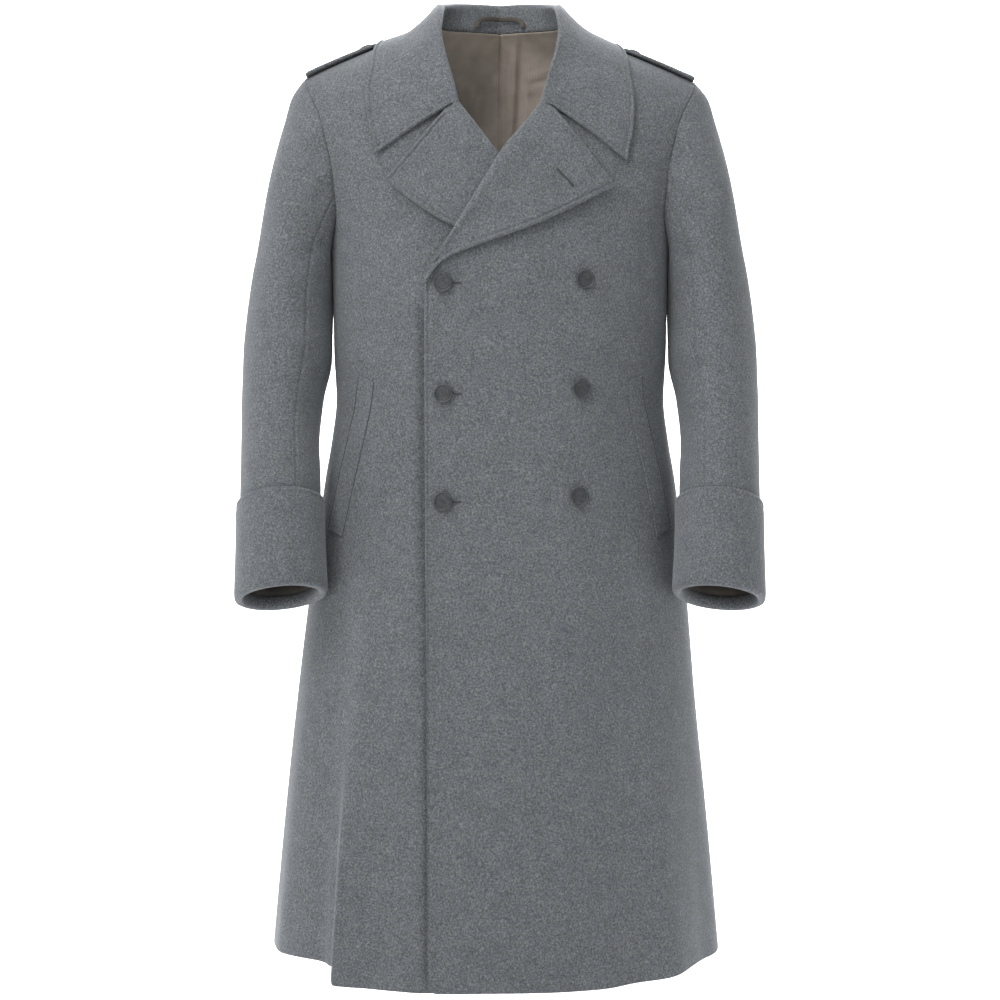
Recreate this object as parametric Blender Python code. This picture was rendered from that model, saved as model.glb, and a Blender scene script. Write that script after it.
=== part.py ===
"""A double-breasted military greatcoat, worn open at the neck on a hollow general form.

Metres, +Z up. The origin is the centre of the neck base, at the height of the side neck points.
The front faces -Y, and +X is the wearer's left side. Each cut piece is a closed cloth wall.
"""
import math

import bpy
import numpy as np

# Driving dimensions
WOOL = 0.0026
LAPEL_WOOL = 0.0028
COLLAR_WOOL = 0.0030
LINING = 0.0010
SEAM = 0.00018
CLEAR = 0.0006
SPLIT_Z = -0.36
NECK_RATIO = 0.255
SHOULDER_RATIO = 0.80
CAP_HEIGHT = 0.10
FORM_POWER = 2.3
NAPE_HEIGHT = 0.008
ARMHOLE_STEPS = 9
UPPER_ROWS = 8
UPPER_CROWDING = 1.35
# The cloth's edge at the armhole leans, so its wall is measured a little longer there
EDGE_STRETCH = 1.15
# Share of the armhole, from its top, where the cloth's edge stands square to the form
UPRIGHT_UNTIL = 0.55
# Samples along a curve that is measured, and halvings of a search
CURVE_SAMPLES = 160
SEARCH_STEPS = 48
BUTTON_DIAMETER = 0.023
STRAP_BUTTON_DIAMETER = 0.0155
SLEEVE_FRONT_SEAM = 6
SLEEVE_BACK_SEAM = 13

# Height, half width, front depth, back depth of the form
FORM = np.array([
    (-1.170, 0.2800, 0.212, 0.190),
    (-1.099, 0.2740, 0.203, 0.182),
    (-0.973, 0.2627, 0.187, 0.166),
    (-0.847, 0.2500, 0.171, 0.151),
    (-0.720, 0.2375, 0.157, 0.136),
    (-0.640, 0.2285, 0.148, 0.123),
    (-0.5695, 0.2195, 0.143, 0.114),
    (-0.519, 0.2110, 0.140, 0.107),
    (-0.469, 0.2055, 0.136, 0.100),
    (-0.410, 0.2085, 0.134, 0.102),
    (-0.330, 0.2100, 0.130, 0.108),
    (-0.285, 0.2120, 0.1255, 0.112),
    (-0.250, 0.2160, 0.122, 0.115),
    (-0.2155, 0.2270, 0.118, 0.117),
    (-0.183, 0.2364, 0.1125, 0.118),
    (-0.150, 0.2486, 0.105, 0.117),
    (-0.118, 0.2635, 0.096, 0.115),
    (-0.0655, 0.3075, 0.081, 0.112),
    (0.000, 0.3450, 0.065, 0.110),
    (0.040, 0.3720, 0.060, 0.100),
])
# Distance from the centre, height of the shoulder ridge
RIDGE = np.array([(0.0, 0.035), (0.088, 0.0), (0.141, -0.0205), (0.246, -0.0655), (0.300, -0.095)])
# Ratio across the form, height of the armhole seam
ARMHOLE = np.array([
    (0.80, -0.0655), (0.85, -0.118), (0.865, -0.150), (0.88, -0.183), (0.90, -0.2155),
    (0.94, -0.250), (0.985, -0.275), (1.0, -0.285),
])
# Ratio across the form, height of the roll line and front neck edge
NECK_FRONT = np.array([
    (-0.4255, -0.330), (0.0, -0.179), (0.19, -0.1126), (0.2237, -0.060), (0.255, 0.0),
])
# Height, distance of the front edge from the centre
TOP_EDGE = np.array([(-1.17, 0.0780), (-0.85, 0.0800), (-0.60, 0.0876), (-0.33, 0.0894), (-0.17, 0.0894)])
UNDER_EDGE = np.array([(-1.17, 0.045), (-0.70, 0.085), (-0.45, 0.097), (-0.33, 0.0894), (-0.17, 0.0894)])
# Height, distance right of the centre where the top layer starts to come down to the form
OVERLAP_END = np.array([
    (-1.17, 0.055), (-0.70, 0.095), (-0.45, 0.108), (-0.33, 0.100),
    (-0.25, 0.060), (-0.179, 0.018), (-0.11, -0.010),
])
OVERLAP_LIFT = 0.0038
OVERLAP_FADE = 0.050
UNDER_LAPEL_LIFT = 0.0050
UNDER_LAPEL_FOOT = 0.030
# Distance from the centre, height: the under lapel's lower edge and roll line, carried on past their ends
UNDER_LAPEL_LINE = np.array([(-0.20, -0.150), (-0.0580, -0.264), (0.0850, -0.333), (0.20, -0.390)])
UNDER_ROLL_LINE = np.array([(-0.20, 0.130), (0.0, -0.179), (0.0894, -0.330), (0.20, -0.50)])
# Margin past each of those lines, and the stretch over which the top front comes down
LAPEL_MARGIN, LAPEL_FADE = 0.070, 0.040
ROLL_MARGIN, ROLL_FADE = 0.065, 0.035
# Angle round the form in degrees (0 front, 90 wearer's left), height of the hem
HEM = np.array([
    (-180, -1.150), (-95, -1.146), (-60, -1.143), (-42.5, -1.147), (-38, -1.162), (-20, -1.168),
    (0, -1.166), (25, -1.165), (45, -1.158), (60, -1.153), (95, -1.152), (140, -1.148), (180, -1.150),
])
# Angle in degrees, half width in degrees, rise at the hem, height where the fold starts
FOLDS = np.array([
    (-37.5, 5.0, 0.014, -0.62), (-47.5, 6.5, -0.010, -0.66), (-66.0, 7.0, 0.006, -0.70),
    (-24.0, 9.0, -0.005, -0.74), (33.0, 7.0, -0.007, -0.70), (45.0, 7.5, 0.009, -0.64),
    (66.0, 8.0, -0.006, -0.70), (112.0, 8.0, 0.009, -0.60), (127.0, 7.0, -0.007, -0.66),
    (148.0, 9.0, 0.010, -0.62), (167.0, 8.0, -0.008, -0.70), (-160.0, 8.5, 0.011, -0.64),
    (-141.0, 8.0, -0.008, -0.62), (-121.0, 9.0, 0.010, -0.58), (-103.0, 7.0, -0.005, -0.74),
])
FOLD_FLOOR = -1.17
# The skirt hangs this far to the wearer's right, from a height down over a length
SKIRT_SWAY, SWAY_START, SWAY_LENGTH = 0.0052, -0.55, 0.35
# How a fold grows from its start to the hem: the most that it reaches, and the power of its growth
FOLD_LIMIT = 1.1
FOLD_GROWTH = 1.4
# Columns of the front from its edge to the shoulder, and of the back from its centre
NECK_COLUMNS = (0.255, 0.33, 0.42, 0.52, 0.60, 0.66, 0.70, 0.75, 0.80)
GORGE_RATIO = 0.19
FRONT_COLUMNS = (-0.4255, -0.33, -0.235, -0.14, -0.05, 0.04, 0.115, GORGE_RATIO, 0.225) + NECK_COLUMNS
BACK_COLUMNS = (0.0, 0.09, 0.18) + NECK_COLUMNS
LOWER_STEPS = (0.0, 0.09, 0.19, 0.30, 0.42, 0.54, 0.64, 0.72, 0.79, 0.85, 0.90, 0.95)

# Height, outer reach, inner reach, forward shift, half depth, tilt forward, tilt outward (degrees)
SLEEVE = np.array([
    (-0.705, 0.3155, 0.2110, -0.120, 0.0570, 17.0, 7.0),
    (-0.667, 0.3155, 0.2145, -0.108, 0.0590, 17.0, 7.0),
    (-0.619, 0.3165, 0.2175, -0.091, 0.0620, 17.0, 6.0),
    (-0.570, 0.3175, 0.2195, -0.074, 0.0650, 16.0, 4.0),
    (-0.521, 0.3185, 0.2225, -0.056, 0.0680, 14.0, 3.0),
    (-0.470, 0.3200, 0.2190, -0.037, 0.0720, 11.0, 1.0),
    (-0.418, 0.3200, 0.2125, -0.022, 0.0760, 7.0, 0.0),
    (-0.368, 0.3170, 0.2140, -0.010, 0.0800, 3.0, 0.0),
    (-0.3175, 0.3110, 0.2150, -0.003, 0.0830, 0.0, 0.0),
    (-0.285, 0.3050, 0.2126, 0.0, 0.0840, 0.0, 0.0),
    (-0.267, 0.3020, 0.2126, 0.0, 0.0835, 0.0, 0.0),
    (-0.217, 0.2940, 0.2126, 0.0, 0.0800, 0.0, 0.0),
    (-0.166, 0.2835, 0.2126, 0.0, 0.0740, 0.0, 0.0),
    (-0.116, 0.2700, 0.2126, 0.0, 0.0660, 0.0, 0.0),
    (-0.091, 0.2630, 0.2126, 0.0, 0.0600, 0.0, 0.0),
    (-0.0655, 0.2460, 0.2126, 0.0, 0.0560, 0.0, 0.0),
])
SLEEVE_LEVELS = (-0.36, -0.415, -0.465, -0.515, -0.565, -0.62, -0.665, -0.705)
SLEEVE_UPPER_ROWS = 7
SLEEVE_CROWDING = 1.3
# Length over which the sleeve's head turns from the armhole seam into the tube, and how quickly
SLEEVE_HEAD_FADE = 0.13
SLEEVE_HEAD_POWER = 2.2
CUFF_END = -0.709
# Place along the sleeve past the cuff's lower end, distance out from the sleeve's outer face
CUFF_PROFILE = (
    (0.111, 0.0008), (0.111, 0.0038), (0.075, 0.0044), (0.035, 0.0046), (0.006, 0.0044), (-0.001, 0.0034),
    (-0.0035, 0.0), (-0.0030, -0.0045), (0.0, -0.0062), (0.012, -0.0066), (0.0125, -0.0036),
    (0.0028, -0.0034), (0.0014, -0.0013), (0.0028, 0.0008), (0.035, 0.0010), (0.075, 0.0009),
)
SLEEVE_LINING = ((0.0133, -0.0056), (0.0133, -0.0046), (0.100, -0.0046), (0.100, -0.0056), (0.055, -0.0056))

# Place along the roll line, front-view place x and z of the lapel's outer edge
LAPEL_TOP_EDGE = np.array([
    (0.0, -0.0875, -0.3350), (0.10, -0.0700, -0.3115), (0.40, -0.0252, -0.2910),
    (0.72, 0.0384, -0.2665), (1.0, 0.1380, -0.2130),
])
LAPEL_UNDER_EDGE = np.array([
    (0.0, 0.0330, -0.2560), (0.30, -0.0060, -0.2830), (0.62, -0.0580, -0.2640),
    (0.93, -0.1240, -0.2170), (1.0, -0.1360, -0.2040),
])
GORGE_ROLL = (0.0506, -0.1126)
NOTCH = (0.0660, -0.1165)
LAPEL_ROWS = (0.0, 0.10, 0.25, 0.40, 0.55, 0.70, 0.83, 0.93, 1.0)
LAPEL_COLUMNS = (0.0, 0.08, 0.17, 0.36, 0.56, 0.78, 1.0)
UNDER_LAPEL_START = 0.36
LAPEL_RISE = 0.0018
TOP_LAPEL_RISE = 0.0028
LAPEL_PUFF = 0.0030
# The puff stands a little out from the roll line and starts past the break; the under lapel's, past the
# stretch that the top front lies on
PUFF_PLACE, PUFF_WIDTH, PUFF_START = 0.15, 0.20, 0.3
UNDER_PUFF_START = 0.45
# How late along the lapel its rows turn towards the notch
LAPEL_TURN = 2.5
# Height of the roll line's break and of its middle
BREAK_Z, ROLL_MIDDLE_Z = -0.330, -0.179

# Collar, from the back centre to the front: share of the neck seam, way from the seam to the roll
# line x, y, z, place of the outer edge x, y, z
COLLAR = np.array([
    (0.0, 0.0, 0.0125, 0.0410, 0.0, 0.1100, -0.0330),
    (0.12, 0.0010, 0.0140, 0.0405, 0.0550, 0.1060, -0.0340),
    (0.25, -0.0010, 0.0120, 0.0385, 0.1050, 0.0850, -0.0340),
    (0.36, -0.0085, 0.0065, 0.0350, 0.1370, 0.0480, -0.0300),
    (0.455, -0.0125, -0.0010, 0.0290, 0.1450, -0.0020, -0.0215),
    (0.56, -0.0105, -0.0100, 0.0215, 0.1515, -0.0300, -0.0370),
    (0.68, -0.0070, -0.0135, 0.0130, 0.1550, -0.0580, -0.0660),
    (0.80, -0.0035, -0.0130, 0.0085, 0.1580, -0.0740, -0.1020),
    (0.91, -0.0005, -0.0110, 0.0050, 0.1590, -0.0860, -0.1430),
    (1.0, 0.0008, -0.0085, 0.0026, 0.1550, -0.1000, -0.1820),
])
COLLAR_COLUMNS = 27
COLLAR_FALL = (0.10, 0.17, 0.34, 0.52, 0.70, 0.86, 1.0)
COLLAR_RISE = 0.0014
# Share of the half length, how far the fall's middle stands up from a straight line
COLLAR_TENT = np.array([
    (0.0, 0.0040), (0.22, 0.0010), (0.36, -0.0060), (0.56, -0.0060), (0.72, 0.0), (0.85, 0.0012), (1.0, 0.0012),
])
COLLAR_BULK = 0.0040
BULK_LENGTH = 0.3
STAND_THINNING = 0.6
ROLL_RADIUS = 0.0042
NOTCH_SHARE = 0.17
# Share of the half length where the roll turns from lying over the shoulder to lying on the chest
TURN_START, TURN_LENGTH = 0.4, 0.5
CHEST_CREST = (0.25, -1.0, 0.25)
# Half heights of the roll, inside and outside, as shares of its radius
ROLL_IN_DROP, ROLL_OUT_DROP = 0.8, 0.5
# Where the collar leaves the stand's way and follows the front to the notch
FRONT_START, FRONT_LENGTH = 0.55, 0.45
# The under side's point stands a little higher and further in
UNDER_POINT_SHIFT = (0.004, 0.0, 0.009)
UNDER_POINT_START = 0.8
# A point is pushed out along a ray from this far below it, and no further than this
CORE_DEPTH = 0.08
SEARCH_REACH = 0.4
# Share of the half length where the stand grows thin
STAND_THIN_START, STAND_THIN_LENGTH = 0.45, 0.25

# Lining of the back, shown inside the neck
LINING_COLUMNS = (0.0, 0.09, 0.18) + NECK_COLUMNS[:-1]
LINING_BOTTOM = -0.42
LINING_ROWS = 9
LINING_LIFT = -0.0052
LINING_CROWDING = 1.5
# How far the lining stays below the shoulder ridge
LINING_DROP = 0.010

# Welt corners on the front: height, ratio of the outer line, ratio of the inner line
WELT = np.array([
    (-0.6300, 0.925, 0.835), (-0.5750, 0.905, 0.810), (-0.5100, 0.880, 0.780), (-0.4420, 0.838, 0.742),
])
WELT_GAP = 0.0012
WELT_WOOL = 0.0030
WELT_ROWS, WELT_COLUMNS = 7, 4
# How much lower the inner line lies than the outer one
WELT_SLOPE = 0.010
# Distance from the centre, height, rise over the top front's face
BUTTONS = ((-0.0670, -0.3350, 0.0010), (-0.0660, -0.4680, 0.0010), (-0.0660, -0.5970, 0.0010),
           (0.1010, -0.3300, -0.0008), (0.0960, -0.4620, 0.0010), (0.0930, -0.5910, 0.0010))
# Radius and height of the turned button, as shares of its diameter
BUTTON_PROFILE = (
    (0.16, 0.0), (0.16, 0.07), (0.43, 0.08), (0.50, 0.13), (0.50, 0.19), (0.465, 0.215), (0.42, 0.185),
)
BUTTON_SIDES = 16
# Distance from the centre, half width of the shoulder strap
STRAP = np.array([
    (0.1525, 0.0030), (0.1560, 0.0105), (0.1610, 0.0165),
    (0.1740, 0.0193), (0.2000, 0.0208), (0.2430, 0.0225),
])
STRAP_BUTTON_X = 0.1690
STRAP_WALL = 0.0040
STRAP_DROP = 0.0012
STRAP_BUTTON_GAP = 0.0004
# Hanger loop: distance from the centre, height, gap to the collar stand
LOOP_PATH = np.array([
    (-0.0300, 0.0135, 0.0025), (-0.0298, 0.0180, 0.0026), (-0.0265, 0.0232, 0.0030),
    (-0.0190, 0.0262, 0.0045), (-0.0050, 0.0270, 0.0050), (0.0120, 0.0262, 0.0050),
    (0.0240, 0.0235, 0.0035), (0.0288, 0.0185, 0.0026), (0.0290, 0.0135, 0.0025),
])
LOOP_BAND = 0.0062
LOOP_WALL = 0.0024

# Material name: colour, roughness
COLOURS = {
    "wool": ((0.118, 0.124, 0.130, 1.0), 0.95),
    "lining": ((0.240, 0.205, 0.170, 1.0), 0.60),
    "sleeve_lining": ((0.055, 0.045, 0.036, 1.0), 0.60),
    "button": ((0.065, 0.068, 0.070, 1.0), 0.42),
    "loop": ((0.115, 0.097, 0.083, 1.0), 0.70),
}


def smooth(table, column, place):
    """Read one column of a table as a smooth curve that keeps its rises and falls."""
    xs = table[:, 0]
    ys = table[:, column]
    place = np.clip(np.asarray(place, dtype=float), xs[0], xs[-1])
    secants = np.diff(ys) / np.diff(xs)
    slopes = np.zeros(len(xs))
    slopes[0] = secants[0]
    slopes[-1] = secants[-1]
    for row in range(1, len(xs) - 1):
        before, after = secants[row - 1], secants[row]
        if before * after > 0:
            slopes[row] = 2 * before * after / (before + after)
    row = np.clip(np.searchsorted(xs, place, side="right") - 1, 0, len(xs) - 2)
    width = xs[row + 1] - xs[row]
    part = (place - xs[row]) / width
    bend = part * part * (3 - 2 * part)
    first = ys[row] * (1 - bend) + ys[row + 1] * bend
    lean = part * (1 - part) * width * (slopes[row] * (1 - part) - slopes[row + 1] * part)
    return first + lean


def straight(table, column, place):
    """Read one column of a table with straight runs between its rows."""
    return np.interp(place, table[:, 0], table[:, column])


def ease(value):
    """Turn smoothly from 0 to 1."""
    value = np.clip(value, 0.0, 1.0)
    return value * value * (3 - 2 * value)


def signed_power(value, power):
    """Raise the size of a value to a power and keep its sign."""
    return np.sign(value) * np.abs(value) ** power


def unit(vectors):
    """Vectors made one long."""
    return vectors / np.maximum(np.linalg.norm(vectors, axis=-1, keepdims=True), 1e-12)


def ridge_height(x):
    """The height of the shoulders and neck at a distance from the centre."""
    return smooth(RIDGE, 1, np.abs(x))


def half_width(z):
    """Half the form's width at a height."""
    return smooth(FORM, 1, z)


def fold_rise(angle, z):
    """The skirt's folds: soft ridges and troughs that grow towards the hem."""
    rise = np.zeros(np.broadcast(angle, z).shape)
    for centre, spread, height, start in FOLDS:
        away = (angle - centre + 180.0) % 360.0 - 180.0
        grown = np.clip((start - z) / (start - FOLD_FLOOR), 0.0, FOLD_LIMIT) ** FOLD_GROWTH
        rise = rise + height * grown * np.exp(-(away / spread) ** 2)
    return rise


def form_point(angle, z):
    """A point of the form's outer face, by its angle round the form in degrees and its height."""
    angle = np.asarray(angle, dtype=float)
    z = np.asarray(z, dtype=float)
    sine = np.sin(np.radians(angle))
    cosine = np.cos(np.radians(angle))
    width = half_width(z)
    depth = np.where(cosine > 0, smooth(FORM, 2, z), smooth(FORM, 3, z))
    across = signed_power(sine, 2 / FORM_POWER)
    along = signed_power(cosine, 2 / FORM_POWER)
    x = width * across
    below = np.clip((ridge_height(x) - z) / CAP_HEIGHT, 0.0, 1.0)
    y = -depth * along * np.sqrt(1 - (1 - below) ** 2)
    plan = np.stack([
        signed_power(across, FORM_POWER - 1) / width,
        -signed_power(along, FORM_POWER - 1) / depth,
        np.zeros(np.broadcast(across, z).shape),
    ], axis=-1)
    x = x - SKIRT_SWAY * ease((SWAY_START - z) / SWAY_LENGTH)
    return np.stack(np.broadcast_arrays(x, y, z), axis=-1) + unit(plan) * fold_rise(angle, z)[..., None]


def form_normal(angle, z):
    """The outward direction of the form's face."""
    step = 0.05
    rise = 0.0004
    around = form_point(angle + step, z) - form_point(angle - step, z)
    upward = form_point(angle, z + rise) - form_point(angle, z - rise)
    return unit(np.cross(around, upward))


def ratio_to_angle(ratio):
    """The angle round the form of a share of its half width."""
    return np.degrees(np.arcsin(signed_power(np.clip(ratio, -1.0, 1.0), FORM_POWER / 2)))


def front_angle(x, z):
    """The angle of the front's point that a front view shows at x and z."""
    return ratio_to_angle(x / half_width(z))


def top_lift(x, z):
    """How far the top front stands out from the form, over the under front and its lapel."""
    ends = smooth(OVERLAP_END, 1, z)
    over_front = 1 - ease((x - ends) / OVERLAP_FADE)
    edge = straight(UNDER_LAPEL_LINE, 1, x)
    above_edge = ease((z - edge + LAPEL_MARGIN) / LAPEL_FADE)
    roll = straight(UNDER_ROLL_LINE, 1, x)
    below_roll = ease((roll + ROLL_MARGIN - z) / ROLL_FADE)
    before_foot = 1 - ease((x - UNDER_LAPEL_FOOT) / OVERLAP_FADE)
    return over_front * (OVERLAP_LIFT + UNDER_LAPEL_LIFT * above_edge * below_roll * before_foot)


def front_place(side, x, z, extra):
    """A point on a front's outer face at a front-view place, moved out; side 1 is the top layer."""
    angle = front_angle(x, z)
    lift = extra
    if side > 0:
        lift = extra + top_lift(x, z)
    return form_point(angle, z) + form_normal(angle, z) * np.asarray(lift)[..., None]


def armhole_ratios():
    """Ratios of the armhole's columns, an even step apart along the seam."""
    dense = np.linspace(ARMHOLE[0, 0], ARMHOLE[-1, 0], CURVE_SAMPLES)
    heights = smooth(ARMHOLE, 1, dense)
    points = form_point(ratio_to_angle(dense), heights)
    steps = np.linalg.norm(np.diff(points, axis=0), axis=1)
    length = np.concatenate([[0.0], np.cumsum(steps)])
    places = np.linspace(0.0, length[-1], ARMHOLE_STEPS + 1)
    return np.interp(places, length, dense)


ARMHOLE_RATIOS = armhole_ratios()


def top_boundary(ratio, z, is_front, side):
    """The height where a panel's column ends: at the neck, shoulder or armhole."""
    if ratio >= SHOULDER_RATIO:
        return float(smooth(ARMHOLE, 1, ratio))
    if ratio >= NECK_RATIO:
        return float(ridge_height(ratio * half_width(z)))
    if is_front:
        return float(straight(NECK_FRONT, 1, ratio_now(ratio, z, side)))
    return back_neck_height(ratio)


def back_neck_height(ratio):
    """The height of the back's neck seam, highest at the centre."""
    return NAPE_HEIGHT * (1 - (ratio / NECK_RATIO) ** 2)


def ratio_now(ratio, z, side):
    """The ratio of a front's column at a height, drawn along with its front edge."""
    if ratio >= GORGE_RATIO:
        return ratio + 0.0 * np.asarray(z)
    edge = -smooth(TOP_EDGE if side > 0 else UNDER_EDGE, 1, z) / half_width(z)
    share = (GORGE_RATIO - ratio) / (GORGE_RATIO - FRONT_COLUMNS[0])
    return GORGE_RATIO + (edge - GORGE_RATIO) * share


def back_ratio(ratio, z, side):
    """The ratio of a back's column, the same at each height."""
    return ratio + 0.0 * np.asarray(z)


def spaced_heights(ratio_at, bottom, top, rows, crowding):
    """Heights up a column, an even step apart along the cloth but closer near the top."""
    dense = np.linspace(bottom, top, CURVE_SAMPLES)
    points = form_point(ratio_to_angle(ratio_at(dense)), dense)
    length = np.concatenate([[0.0], np.cumsum(np.linalg.norm(np.diff(points, axis=0), axis=1))])
    share = 1 - (1 - np.linspace(0.0, 1.0, rows + 1)) ** crowding
    return np.interp(share * length[-1], length, dense)


def column_top(ratio, is_front, side):
    """The height where a column meets the panel's top boundary."""
    low, high = -0.5, 0.05
    for _ in range(SEARCH_STEPS):
        middle = (low + high) / 2
        if middle < top_boundary(ratio, middle, is_front, side):
            low = middle
        else:
            high = middle
    return low


def wall(name, outer, inner, material, ring=False):
    """Close two grids of points into one cloth wall; a ring joins its last column to its first."""
    rows, columns = outer.shape[:2]
    vertices = np.concatenate([outer.reshape(-1, 3), inner.reshape(-1, 3)])
    back = rows * columns
    faces = []
    last = columns if ring else columns - 1
    for row in range(rows - 1):
        for column in range(last):
            following = (column + 1) % columns
            a = row * columns + column
            b = row * columns + following
            c = (row + 1) * columns + following
            d = (row + 1) * columns + column
            faces.append((a, b, c, d))
            faces.append((back + d, back + c, back + b, back + a))
    for column in range(last):
        following = (column + 1) % columns
        faces.append((back + column, back + following, following, column))
        top = (rows - 1) * columns
        faces.append((top + column, top + following, back + top + following, back + top + column))
    if not ring:
        for row in range(rows - 1):
            a, b = row * columns, (row + 1) * columns
            faces.append((a, b, back + b, back + a))
            c, d = a + columns - 1, b + columns - 1
            faces.append((d, c, back + c, back + d))
    return solid(name, vertices, faces, material)


def solid(name, vertices, faces, material):
    """Make an object from points and faces, cut into triangles, with its faces pointing out."""
    triangles = []
    points = np.asarray(vertices)
    for face in faces:
        if len(face) == 4:
            one = np.linalg.norm(points[face[0]] - points[face[2]])
            two = np.linalg.norm(points[face[1]] - points[face[3]])
            if one <= two:
                triangles += [(face[0], face[1], face[2]), (face[0], face[2], face[3])]
            else:
                triangles += [(face[0], face[1], face[3]), (face[1], face[2], face[3])]
        else:
            triangles.append(tuple(face))
    corners = points[np.array(triangles)]
    volume = np.einsum("ij,ij->i", corners[:, 0], np.cross(corners[:, 1], corners[:, 2])).sum()
    if volume < 0:
        triangles = [tuple(reversed(triangle)) for triangle in triangles]
    mesh = bpy.data.meshes.new(name)
    mesh.from_pydata([tuple(point) for point in points], [], triangles)
    mesh.update()
    made = bpy.data.objects.new(name, mesh)
    bpy.context.scene.collection.objects.link(made)
    colour, roughness = COLOURS[material]
    finish = bpy.data.materials.new(name + "_finish")
    finish.use_nodes = True
    shader = finish.node_tree.nodes["Principled BSDF"]
    shader.inputs["Base Color"].default_value = colour
    shader.inputs["Roughness"].default_value = roughness
    mesh.materials.append(finish)
    return made


def ridge_normal(x):
    """The upward direction of the shoulder at a distance from the centre."""
    step = 0.001
    slope = (ridge_height(np.abs(x) + step) - ridge_height(np.abs(x) - step)) / (2 * step)
    return unit(np.stack([-slope * np.sign(x), 0 * slope, 1 + 0 * slope], axis=-1))


def armhole_seam(side):
    """Points round an armhole, from the shoulder tip by the front to the armpit and up the back.

    Gives the points, the direction of the seam's edge through the cloth, and the way across it.
    """
    angles = ratio_to_angle(ARMHOLE_RATIOS)
    heights = smooth(ARMHOLE, 1, ARMHOLE_RATIOS)
    loop_angles = np.concatenate([side * angles, side * (180 - angles[-2:0:-1])])
    loop_heights = np.concatenate([heights, heights[-2:0:-1]])
    points = form_point(loop_angles, loop_heights)
    normals = form_normal(loop_angles, loop_heights)
    normals[0] = ridge_normal(points[0, 0])
    centre = points.mean(axis=0)
    share = np.concatenate([np.arange(ARMHOLE_STEPS + 1), np.arange(ARMHOLE_STEPS - 1, 0, -1)])
    upright = 1 - ease((share / ARMHOLE_STEPS - UPRIGHT_UNTIL) / (1 - UPRIGHT_UNTIL))
    edges = unit(normals * upright[:, None] + unit(points - centre))
    tangent = np.roll(points, -1, axis=0) - np.roll(points, 1, axis=0)
    across = unit(np.cross(tangent, edges))
    across = across * np.sign(across[:, :1] * side)
    return points, edges, across


def panel(name, side, is_front):
    """A front or back, from the hem to its neck, shoulder and armhole seams."""
    ratios = (FRONT_COLUMNS if is_front else BACK_COLUMNS) + tuple(ARMHOLE_RATIOS[1:])
    _, seam_edges, seam_across = armhole_seam(side)
    shifted = ratio_now if is_front else back_ratio
    outer, inner = [], []
    for column, ratio in enumerate(ratios):
        top = column_top(ratio, is_front, side)
        upper = spaced_heights(lambda z: shifted(ratio, z, side), SPLIT_Z, top, UPPER_ROWS, UPPER_CROWDING)
        hem_angle = ratio_to_angle(shifted(ratio, FOLD_FLOOR, side))
        hem = float(smooth(HEM, 1, side * hem_angle if is_front else side * (180 - hem_angle)))
        z = np.concatenate([hem + (SPLIT_Z - hem) * np.array(LOWER_STEPS), upper])
        angle = side * ratio_to_angle(shifted(ratio, z, side))
        if not is_front:
            angle = side * 180 - angle
        points = form_point(angle, z)
        normals = form_normal(angle, z)
        if is_front and side > 0:
            points = points + normals * top_lift(points[:, 0], z)[:, None]
        place = column - (len(ratios) - 1 - ARMHOLE_STEPS)
        on_shoulder = NECK_RATIO <= ratio < SHOULDER_RATIO + 0.001
        if on_shoulder:
            normals[-1] = ridge_normal(points[-1, 0])
            points[-1, 1] += -SEAM if is_front else SEAM
        if column == len(ratios) - 1:
            points[:, 1] += -SEAM if is_front else SEAM
        if not is_front and column == 0:
            points[:, 0] += side * SEAM
        if place >= 0:
            row = place if is_front else (2 * ARMHOLE_STEPS - place) % (2 * ARMHOLE_STEPS)
            normals[-1] = seam_edges[row] * EDGE_STRETCH
            points[-1] = points[-1] - seam_across[row] * SEAM
        outer.append(points)
        inner.append(points - normals * WOOL)
    return wall(name, np.array(outer), np.array(inner), "wool")


def sleeve_place(side, turn, level, lift):
    """A point of a sleeve's outer face: its turn in degrees (0 outside, 90 front) and its level."""
    reach_out, reach_in, forward, depth, lean, splay = (smooth(SLEEVE, k, level) for k in range(1, 7))
    lean, splay = np.radians(lean), np.radians(splay)
    turn = np.radians(turn)
    across = (reach_out - reach_in) / 2 + lift
    deep = depth + lift
    nothing = 0 * across
    centre = np.stack([(reach_out + reach_in) / 2, forward, level + nothing], axis=-1)
    outward = np.stack([np.cos(splay), nothing, -np.sin(splay)], axis=-1)
    front = np.stack([nothing, -np.cos(lean), np.sin(lean)], axis=-1)
    point = centre + outward * (across * np.cos(turn))[..., None] + front * (deep * np.sin(turn))[..., None]
    return point * np.array([side, 1, 1])


def sleeve_grid(side):
    """Outer and inner points of a whole sleeve, a column for each point of the armhole seam."""
    seam_points, seam_edges, seam_across = armhole_seam(side)
    turns = np.arange(2 * ARMHOLE_STEPS) * 180.0 / ARMHOLE_STEPS
    outer = []
    for column, turn in enumerate(turns):
        start = seam_points[column]
        share = np.linspace(0.0, 1.0, SLEEVE_UPPER_ROWS + 1) ** SLEEVE_CROWDING
        upper = start[2] + (SLEEVE_LEVELS[0] - start[2]) * share
        levels = np.concatenate([upper, SLEEVE_LEVELS[1:]])
        tube = sleeve_place(side, turn + 0 * levels, levels, 0.0)
        shift = start - tube[0]
        fade = np.clip(1 - (start[2] - levels) / SLEEVE_HEAD_FADE, 0.0, 1.0) ** SLEEVE_HEAD_POWER
        outer.append(tube + shift * fade[:, None])
    outer = np.array(outer)
    around = np.roll(outer, -1, axis=0) - np.roll(outer, 1, axis=0)
    along = np.gradient(outer, axis=1)
    normals = unit(np.cross(around, along)) * side
    outer[:, 0] = seam_points + seam_across * SEAM
    inner = outer - normals * WOOL
    inner[:, 0] = outer[:, 0] - seam_edges * WOOL * EDGE_STRETCH
    return outer, inner


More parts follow.
